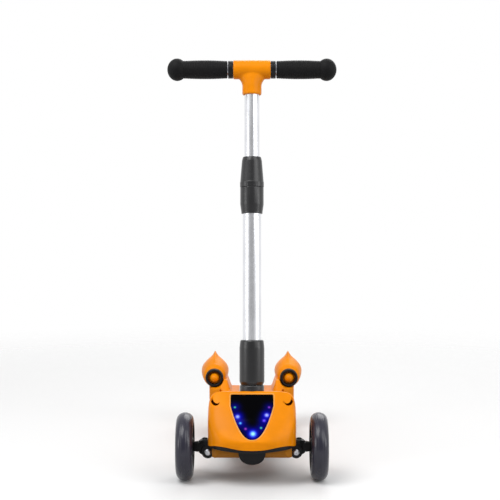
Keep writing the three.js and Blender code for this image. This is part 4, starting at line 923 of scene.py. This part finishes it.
def addBooster(sideName):
    # the cone is a quarter ellipse turned about the axis, and joined to the shell
    intake = "intake_ring_" + sideName
    place = endPlace(intake, (0, 1, 0))[0]
    length = booster["ringLength"]
    bend = quarter(24)
    cone = np.column_stack([booster["cone"] * np.sin(bend), length - booster["coneLength"] * np.cos(bend)])
    cone = np.vstack([cone, [(booster["cone"] - 0.4, length + 1), (0, length + 1)]])
    body = sheetOf("boosterShell", moved(boosterShell(), Matrix.Translation(place.to_translation())))
    standFor(joinedObjects([body, turned("intakeCone", cone, place, 96)]), "booster_shell_" + sideName)

    # the ring: a round lip ahead, a groove round its outside
    outer = booster["ring"]
    inner = outer - booster["ringWall"]
    groove = outer - booster["groove"]
    turn = np.linspace(0, math.pi, 28)
    lipShape = np.stack([(outer + inner) / 2 - booster["ringWall"] / 2 * np.cos(turn),
                         booster["lip"] - booster["lip"] * np.sin(turn)], -1)
    ringShape = np.vstack([[(inner, length), (inner, 5)], lipShape, [
        (outer, 5), (groove, 5.5), (groove, 6.3), (outer, 6.8), (outer, length)]])
    standFor(turned("intakeRing", ringShape, place, 128), intake)

    start = booster["high"] + 0.3
    end = start + booster["nozzleLength"]
    throat, mouth, wall = booster["nozzle"], booster["mouth"], booster["nozzleWall"]
    nozzleShape = rounded([
        (0, start), (throat, start), (throat + 0.6, start + 4), (throat + 1, start + 9), (mouth, end - 1),
        (mouth - wall / 2, end), (mouth - wall, end - 0.6), (throat - wall, start + 6),
        (throat - wall - 1, start + wall), (5, start + wall), (4, start + wall + 3),
        (0, start + wall + 5)], 0.9)
    standFor(turned("nozzle", nozzleShape, place, 128), "exhaust_nozzle_" + sideName)


# The mount: a lobe outside each rear rail that flares out, dips under the intake ring and rises
# into a neck under the booster
neck = {"inner": 26.3, "shelf": 86, "cap": 110, "flankStart": 42, "flankEnd": 54, "frontOuter": 53,
        "outer": 91, "bottom": 58, "corner": 9, "edge": 5, "ringGap": 1.1, "endRound": 11, "middle": 82,
        "ease": 8, "screw": 2.3, "screwAt": (66.5, 89)}


def boosterMount(sideName, side):
    # sections across, one behind the other: the top's height is a smooth step over the width, held
    # below the ring's circle where the ring is; the end sections are drawn in as a quarter circle
    node = "booster_mount_" + sideName
    ring = nodeCentre("intake_ring_" + sideName) / mm
    ringFront, ringBack = (corner[1] / mm for corner in nodeBox("intake_ring_" + sideName))
    front, back = (corner[1] / mm for corner in nodeBox(node))
    bend = quarter(14)[1:]
    y = np.concatenate([
        np.linspace(front, ringFront - 0.6, 40), np.linspace(ringFront - 0.5, ringBack + 0.4, 14),
        np.linspace(ringBack + 0.5, back - neck["endRound"], 20),
        back - neck["endRound"] * (1 - np.sin(bend))])[:, None]
    flare = smoothStep((y - front) / (ringBack - front))
    outer = neck["frontOuter"] + (neck["outer"] - neck["frontOuter"]) * flare
    x = neck["inner"] + (outer - neck["inner"]) * np.linspace(0, 1, 70)[None, :]
    rise = smoothStep((x - neck["flankStart"]) / (neck["flankEnd"] - neck["flankStart"]))
    lead = smoothStep((y - front - neck["ease"]) / (ringFront - front - neck["ease"]))
    top = neck["shelf"] + (neck["cap"] - neck["shelf"]) * lead * rise
    room = booster["ring"] + neck["ringGap"]
    away = np.minimum(np.abs(x - abs(ring[0])), room)
    under = np.where(away < room, ring[2] - np.sqrt(room ** 2 - away ** 2), np.inf)
    top = np.where(y < ringBack + 0.45, np.minimum(top, under), top)
    past = np.clip((x - outer + neck["edge"]) / neck["edge"], 0, 1)
    top = top - neck["edge"] * (1 - np.sqrt(1 - past ** 2))
    turn = quarter(9)[None, :]
    cornerX = outer - neck["corner"] * (1 - np.cos(turn))
    cornerZ = neck["bottom"] + neck["corner"] * (1 - np.sin(turn)) + 0 * y
    level = neck["bottom"] + 0 * y
    inner = neck["inner"] + 0 * y
    x = np.concatenate([x, cornerX, inner + 2, inner], axis=1)
    z = np.concatenate([top, cornerZ, level, level + 2], axis=1)
    drawn = np.clip((y - back + neck["endRound"]) / neck["endRound"], 0, 0.999)
    inset = neck["endRound"] * (1 - np.sqrt(1 - drawn ** 2)) / neck["ease"]
    x = x - np.clip(x - (neck["inner"] + neck["outer"]) / 2, -neck["ease"], neck["ease"]) * inset
    z = z - np.clip(z - neck["middle"], -neck["ease"], neck["ease"]) * inset
    body = sheetOf("mount", moved(np.stack(np.broadcast_arrays(side * x, y, z), -1), Matrix()))
    at = (side * neck["screwAt"][0] * mm, front * mm, neck["screwAt"][1] * mm)
    standFor(carve(body, turned("screwRoom", rod(neck["screw"], -5, 22), onAxis(at, (0, 1, 0)), 32)), node)


for sideName, side in sides.items():
    addBooster(sideName)
    boosterMount(sideName, side)
print("boosters ready")


# Pieces that keep their CAD form, with joined faces and rounded edges

# the tray takes the orange that is darkened as painted shade
for node, width, paint in (("front_tray", 0.8, shadedTrayPaint), ("deck", 1.3, None), ("battery_cover", 0.6, None),
                           ("tie_rod", 0.5, None), ("rear_axle_bolt", 0.5, None), ("fender_pin", 0.5, None),
                           ("lean_bolt", 0.7, darkPaint)):
    standFor(softened(node, width), node, paint)


# Front truck: the ears' outer corners slope down to a web on each knuckle, so that an arm narrows
# evenly from the beam to the wheel; the kingpins end in small domes. Heights run from the axle's.

arm = {"start": 86, "startHalf": 13.6, "end": 96, "endHalf": 9.2, "clear": 22, "webStart": 95.4,
       "webHalf": 9.4, "webEnd": 107.5, "seatHalf": 6.9, "depth": 5, "dome": 4.9, "domeHigh": 2.4, "pin": 4,
       "pinEdge": 2.6, "round": 24.6, "roundHalf": 25.5, "roundDepth": 21.5, "roundClear": 30}
axleView = Matrix.Translation((0, 0, frontAxle.z)) @ frontView


def underRound(back):
    # what lies below the pivot's underside, an ellipse less deep than it is wide, from well ahead of
    # the axle to the given distance behind it
    across = np.linspace(-arm["round"], arm["round"], 49)
    under = np.column_stack([across, -arm["roundDepth"] * np.sqrt(1 - (across / arm["roundHalf"]) ** 2)])
    floor = [(arm["round"], -arm["roundClear"]), (-arm["round"], -arm["roundClear"])]
    return prism("underRound", np.vstack([under, floor]), axleView, -back, 80)


def frontTruck():
    # four-sided blocks are cut off the beam's ears and added to the knuckles; a kingpin's end is a
    # dome by one less a cosine
    corners = []
    for side in sides.values():
        for up in (1, -1):
            outline = np.array([(arm["start"], arm["startHalf"]), (arm["end"], arm["endHalf"]),
                                (arm["end"], arm["clear"]), (arm["start"], arm["clear"])]) * (side, up)
            corners.append(prism("corner", outline, axleView, -16, 16))
    standFor(carve(softened("axle_beam", 1.1), underRound(80), *corners), "axle_beam")
    standFor(carve(softened("lean_bracket", 0.6), underRound(0)), "lean_bracket", bracketPaint)
    for sideName, side in sides.items():
        outline = np.array([(arm["webStart"], -arm["webHalf"]), (arm["webEnd"], -arm["seatHalf"]),
                            (arm["webEnd"], arm["seatHalf"]), (arm["webStart"], arm["webHalf"])]) * (side, 1)
        web = changed(prism("web", outline, axleView, -arm["depth"], arm["depth"]), bevel(1.2, 30))
        knuckle = "knuckle_" + sideName
        standFor(joinedObjects([softened(knuckle, 1.1), web]), knuckle)
        kingpin = "kingpin_" + sideName
        place = onAxis((nodeCentre(kingpin)[0], frontAxle.y, nodeBox(kingpin)[0][2]), (0, 0, 1))
        length = nodeSize(kingpin)[2]
        bend = quarter(8)
        dome = np.column_stack([arm["dome"] * np.sin(bend), arm["domeHigh"] * (1 - np.cos(bend))])
        outline = np.vstack([dome, [(arm["pin"], arm["pinEdge"]), (arm["pin"], length - arm["pinEdge"])],
                             dome[::-1] * (1, -1) + (0, length)])
        standFor(turned("kingpin", outline, place, 64), kingpin, bracketPaint)


frontTruck()
print("plain pieces ready")


# Small turned pieces: caps, screws, buttons and bearings

def addCap(sideName, side):
    # a dome in two steps, with a groove round its rim and a dish in its middle
    node = "front_wheel_" + sideName + "_cap"
    place, length = endPlace(node, (side, 0, 0))
    radius = nodeSize(node)[2] / 2
    # each pair is how far it lies within the radius, and its height
    steps = np.array([(2, 0), (1, 0), (0, 1), (0, 2.4), (0.4, 2.9), (0.4, 3.3), (0, 3.8), (0.6, length - 1.6),
                      (3.4, length - 0.1), (4.6, length - 0.5), (5.4, length - 0.5), (6.2, length),
                      (radius - 0.01, length)])
    outline = rounded(steps * (-1, 1) + (radius, 0), 0.8)
    outline = np.vstack([outline, [(0, length), (0, length - 2), (radius - 2.2, length - 2)]])
    standFor(turned("cap", outline, place, 96), node, greyPaint)


def addPinchScrew(sideName):
    # a domed head with a six-sided socket
    node = "pinch_screw_" + sideName
    place, length = endPlace(node, (0, -1, 0))
    radius = nodeSize(node)[2] / 2
    shank, head, socket = 2.5, length - 3.4, 2.6
    outline = rounded([(0, 0), (shank, 0), (shank, head), (radius, head), (radius, head + 1.3),
                       (radius - 0.7, head + 2.5), (radius - 2.2, length), (0, length)], 0.7)
    screw = turned("pinchScrew", outline, place, 72)
    standFor(carve(screw, turned("socket", rod(socket, length - 2, length + 1), place, 6)), node)


def addButton(node, axis, radius):
    # a shallow dish, as deep as a squared cosine, in a rounded cap
    place, length = endPlace(node, axis)
    dishDepth, dishShare = 0.55, 0.62
    bend = quarter(14)[::-1]
    dish = np.column_stack([radius * dishShare * np.sin(bend), length - dishDepth * np.cos(bend) ** 2])
    outline = np.vstack([[(0, 0), (radius, 0), (radius, length - 1.2), (radius - 0.35, length - 0.4),
                          (radius - 1.2, length)], dish, [(0, length - dishDepth)]])
    standFor(turned("button", outline, place, 96), node)


def addBearing(node):
    # a ring with its seal set back between the two races
    half, radius = nodeSize(node)[0] / 2, nodeSize(node)[2] / 2
    seal = half - 0.5
    face = np.array([(4.3, half), (6.2, half), (6.5, seal), (radius - 2, seal), (radius - 1.7, half),
                     (radius, half)])
    outline = rounded(np.vstack([face * (1, -1), face[::-1]]), 0.3)
    standFor(turned("bearing", outline, onAxis(nodeCentre(node), (1, 0, 0)), 72), node)


for sideName, side in sides.items():
    addCap(sideName, side)
    addPinchScrew(sideName)
addButton("power_button", (0, 0, 1), 9)
addButton("column_release_button", releaseAxis, release["radius"])
for node in frame["nodes"]:
    if node.endswith(("bearing_outer", "bearing_inner", "wheel_bearing")):
        addBearing(node)


# Deck mat: rows of round studs in a frame, each row half a pitch aside from the next

mat = {"corner": 14, "pitch": 9.0, "rowShare": 0.866, "stud": 3.0, "studEdge": 0.7, "rise": 0.85,
       "border": 8.5, "cornerRoom": 18, "cornerReach": 11, "rim": 0.7, "rimEdge": 0.8, "line": 0.4,
       "lineAt": 3.4, "lineHalf": 0.5}


def deckMat():
    # height by place: a plain border, then studs as raised domes on an offset grid
    low = nodeBox("deck_mat")[0]
    half = nodeSize("deck_mat") / 2
    columns, rows = 200, 430
    y = np.linspace(-1, 1, rows)[:, None] * half[1] + np.zeros((1, columns))
    # towards each end the width follows the round corners
    past = np.clip(np.abs(y) - (half[1] - mat["corner"]), 0, mat["corner"])
    wide = half[0] - mat["corner"] + np.sqrt(mat["corner"] ** 2 - past ** 2)
    x = np.linspace(-1, 1, columns)[None, :] * wide
    rowPitch = mat["pitch"] * mat["rowShare"]
    row = np.round(y / rowPitch)
    studY = row * rowPitch
    offset = (row % 2) * mat["pitch"] / 2
    studX = np.round((x - offset) / mat["pitch"]) * mat["pitch"] + offset
    roomX, roomY = half[0] - np.abs(studX), half[1] - np.abs(studY)
    corner = np.hypot(*(np.maximum(mat["cornerRoom"] - room, 0) for room in (roomX, roomY)))
    inside = (np.minimum(roomX, roomY) > mat["border"]) & (corner < mat["cornerReach"])
    stud = smoothStep((mat["stud"] - np.hypot(x - studX, y - studY)) / mat["studEdge"]) * inside
    edge = np.minimum(wide - np.abs(x), half[1] - np.abs(y))
    line = np.exp(-((edge - mat["lineAt"]) / mat["lineHalf"]) ** 2) * mat["line"]
    dropped = mat["rim"] * (1 - np.clip(edge / mat["rimEdge"], 0, 1))
    top = half[2] - mat["rise"] * (1 - stud) - dropped - line
    upper = moved(np.stack([x, y, top], -1), Matrix.Translation(nodeCentre("deck_mat")))

    # the sides run down from the grid's outer points to a flat underside
    index = np.arange(rows * columns).reshape(rows, columns)
    loop = np.concatenate([index[0], index[1:, -1], index[-1, -2::-1], index[-2:0:-1, 0]])
    below = np.arange(len(loop)) + rows * columns
    points = upper.reshape(-1, 3)
    under = points[loop]
    under[:, 2] = low[2]
    sideFaces = np.stack([loop, np.roll(loop, -1), np.roll(below, -1), below], -1)
    faces = np.vstack([gridFaces(rows, columns, False), sideFaces])
    piece = cleaned(newObject("mat", np.vstack([points, under]), faces, [tuple(below)]), 1e-7)
    standFor(piece, "deck_mat", smooth=60)


deckMat()
print("deck ready")


# Brake fender: a curved plate with a rolled edge and pressed ridges where the heel pushes it

fender = {"middle": 58, "thick": 2, "half": 16.5, "start": 125, "sweep": 93, "eye": 6, "pin": 2.9,
          "ridge": 0.55, "ridges": 26, "ridgeStart": 0.1, "ridgeEnd": 0.62, "endNarrow": 0.12,
          "endThick": 0.35}


def brakeFender():
    # an arc of boxy sections about the wheel, ridged on its outside by a raised cosine, and narrower
    # and thinner towards both ends
    wheelCentre = nodeCentre("rear_wheel_tyre")
    turn = np.radians(np.linspace(fender["start"], fender["start"] - fender["sweep"], 150))[:, None]
    share = np.linspace(0, 1, 150)[:, None]
    section = around(64)
    across = fender["half"] * boxy(np.cos(section), 0.22)
    up = boxy(np.sin(section), 0.4)
    ridged = np.clip(np.minimum(share - fender["ridgeStart"], fender["ridgeEnd"] - share) / 0.02, 0, 1)
    ridge = fender["ridge"] * ridged * (0.5 - 0.5 * np.cos(share * circle * fender["ridges"]))
    crown = 1 - (np.abs(across) / fender["half"]) ** 4
    ends = np.clip(np.minimum(share, 1 - share) / 0.02, 0, 1) ** 0.5
    reach = fender["thick"] * up - (up > 0) * ridge * crown
    reach = fender["middle"] + reach * (fender["endThick"] + (1 - fender["endThick"]) * ends)
    narrowed = across * (1 - fender["endNarrow"] * (1 - ends))
    grid = np.stack([narrowed, np.cos(turn) * reach, np.sin(turn) * reach], -1)
    plate = sheetOf("fender", moved(grid, Matrix.Translation(wheelCentre)))
    pin = nodeCentre("fender_pin")
    corners = sleeve(fender["pin"], fender["eye"], -fender["half"], fender["half"])
    eye = turned("eye", rounded(corners, 0.8), onAxis(pin, (1, 0, 0)), 72)
    # the link from the eye to the plate's front end
    start = math.radians(fender["start"])
    front = wheelCentre + np.array([0, math.cos(start), math.sin(start)]) * fender["middle"] * mm
    along = np.linspace(0, 1, 12)[:, None, None]
    direction = (front - pin) / np.linalg.norm(front - pin)
    normal = np.array([0, -direction[2], direction[1]])
    profile = (across[:, None] * np.array([1, 0, 0]) + up[:, None] * fender["thick"] * normal) * mm
    link = sheetOf("link", pin * (1 - along) + front * along + profile)
    standFor(joinedObjects([plate, eye, link]), "brake_fender", smooth=50)


brakeFender()
print("fender ready")


# Floor, camera and light, as of a small studio with a white sweep

studio = {
    "world": 0.4, "floorShown": 0.9, "floorBounce": 0.3, "floorReach": 4.0,
    "lamps": [("keyLight", (-1.1, -1.3, 2.6), 1.7, 44), ("fillLight", (1.7, -1.7, 1.9), 1.8, 23),
              ("backLight", (0.6, 2.0, 2.3), 1.8, 26), ("leftStrip", (-2.3, -1.2, 0.7), 0.9, 8),
              ("rightStrip", (2.3, -1.0, 0.7), 0.9, 8)],
    "aim": (0, 0, 0.3), "cardHalf": 4.4, "cardLow": 0.0, "cardHigh": 2.8, "cardBack": -3.4, "cardDepth": 0.56}


def studioFloor():
    # the floor fades out far from the scooter, so that it has no horizon
    turn = around(96)
    edge = studio["floorReach"] * np.column_stack([np.cos(turn), np.sin(turn), 0 * turn])
    floor = newObject("studioFloor", edge, np.empty((0, 4), int), [tuple(range(96))])
    paint = Paint("studioFloor", (0.9, 0.9, 0.9), 0.7)
    x, y, z = paint.parts(paint.place())
    away = (x * x + y * y) ** 0.5
    # it is pale to the eye and in gloss, and throws less light back up at the scooter
    bounce, shown = ((studio[key],) * 3 for key in ("floorBounce", "floorShown"))
    paint.put(Roughness=0.66 + paint.noise(3) * 0.1, Alpha=1 - away.between(0.55, 2.2),
              Base_Color=paint.mix(paint.rays("Camera", "Glossy"), bounce, shown))
    floor.data.materials.append(paint.material)


def studioWorld():
    # white where it is seen, and a soft grey where it only lights
    world = bpy.data.worlds.new("studioWorld")
    bpy.context.scene.world = world
    world.use_nodes = True
    world.node_tree.nodes.clear()
    sky = Nodes(world.node_tree)
    soft, white = (sky.node("ShaderNodeBackground", {}, {"Color": (1, 1, 1), "Strength": strength})
                   for strength in (studio["world"], 1.0))
    seen = sky.rays("Camera", "Glossy", "Transmission")
    either = sky.node("ShaderNodeMixShader", {}, {0: seen, 1: soft, 2: white})
    output = world.node_tree.nodes.new("ShaderNodeOutputWorld")
    sky.plug(output.inputs["Surface"], either)


def studioLamps():
    # soft square lamps, all turned towards the scooter's middle
    for name, place, size, power in studio["lamps"]:
        lamp = bpy.data.lights.new(name, "AREA")
        lamp.energy = power
        lamp.size = size
        light = linked(name, lamp)
        light.location = place
        light.rotation_euler = (Vector(studio["aim"]) - Vector(place)).to_track_quat("-Z", "Y").to_euler()


def darkCard():
    # a dark card behind the camera, seen by gloss alone, draws the dark band down the bright tubes
    half, low, high, back = (studio[key] for key in ("cardHalf", "cardLow", "cardHigh", "cardBack"))
    corners = [(-half, back, low), (half, back, low), (half, back, high), (-half, back, high)]
    card = newObject("darkCard", corners, np.array([[0, 1, 2, 3]]))
    paint = Paint("darkCard", (0.02, 0.02, 0.02), 0.9, Specular_IOR_Level=0.0)
    middle = paint.parts(paint.place())[0]
    away = ((middle * middle) ** 0.5).between(half * 0.25, half)
    paint.put(Alpha=(1 - away) * studio["cardDepth"])
    card.data.materials.append(paint.material)
    card.visible_camera = False
    card.visible_diffuse = False
    card.visible_shadow = False
    card.visible_transmission = False


view = {"sensor": 36, "lens": 81.92, "place": (-0.0035, -2.236, 0.5102), "down": 2.881}


def camera():
    # level ahead, then tilted down by a few degrees
    sight = bpy.data.cameras.new("camera")
    sight.sensor_width = view["sensor"]
    sight.lens = view["lens"]
    viewer = linked("camera", sight)
    viewer.location = view["place"]
    viewer.rotation_euler = (math.radians(90 - view["down"]), 0, 0)
    bpy.context.scene.camera = viewer


studioFloor()
studioWorld()
studioLamps()
darkCard()
camera()
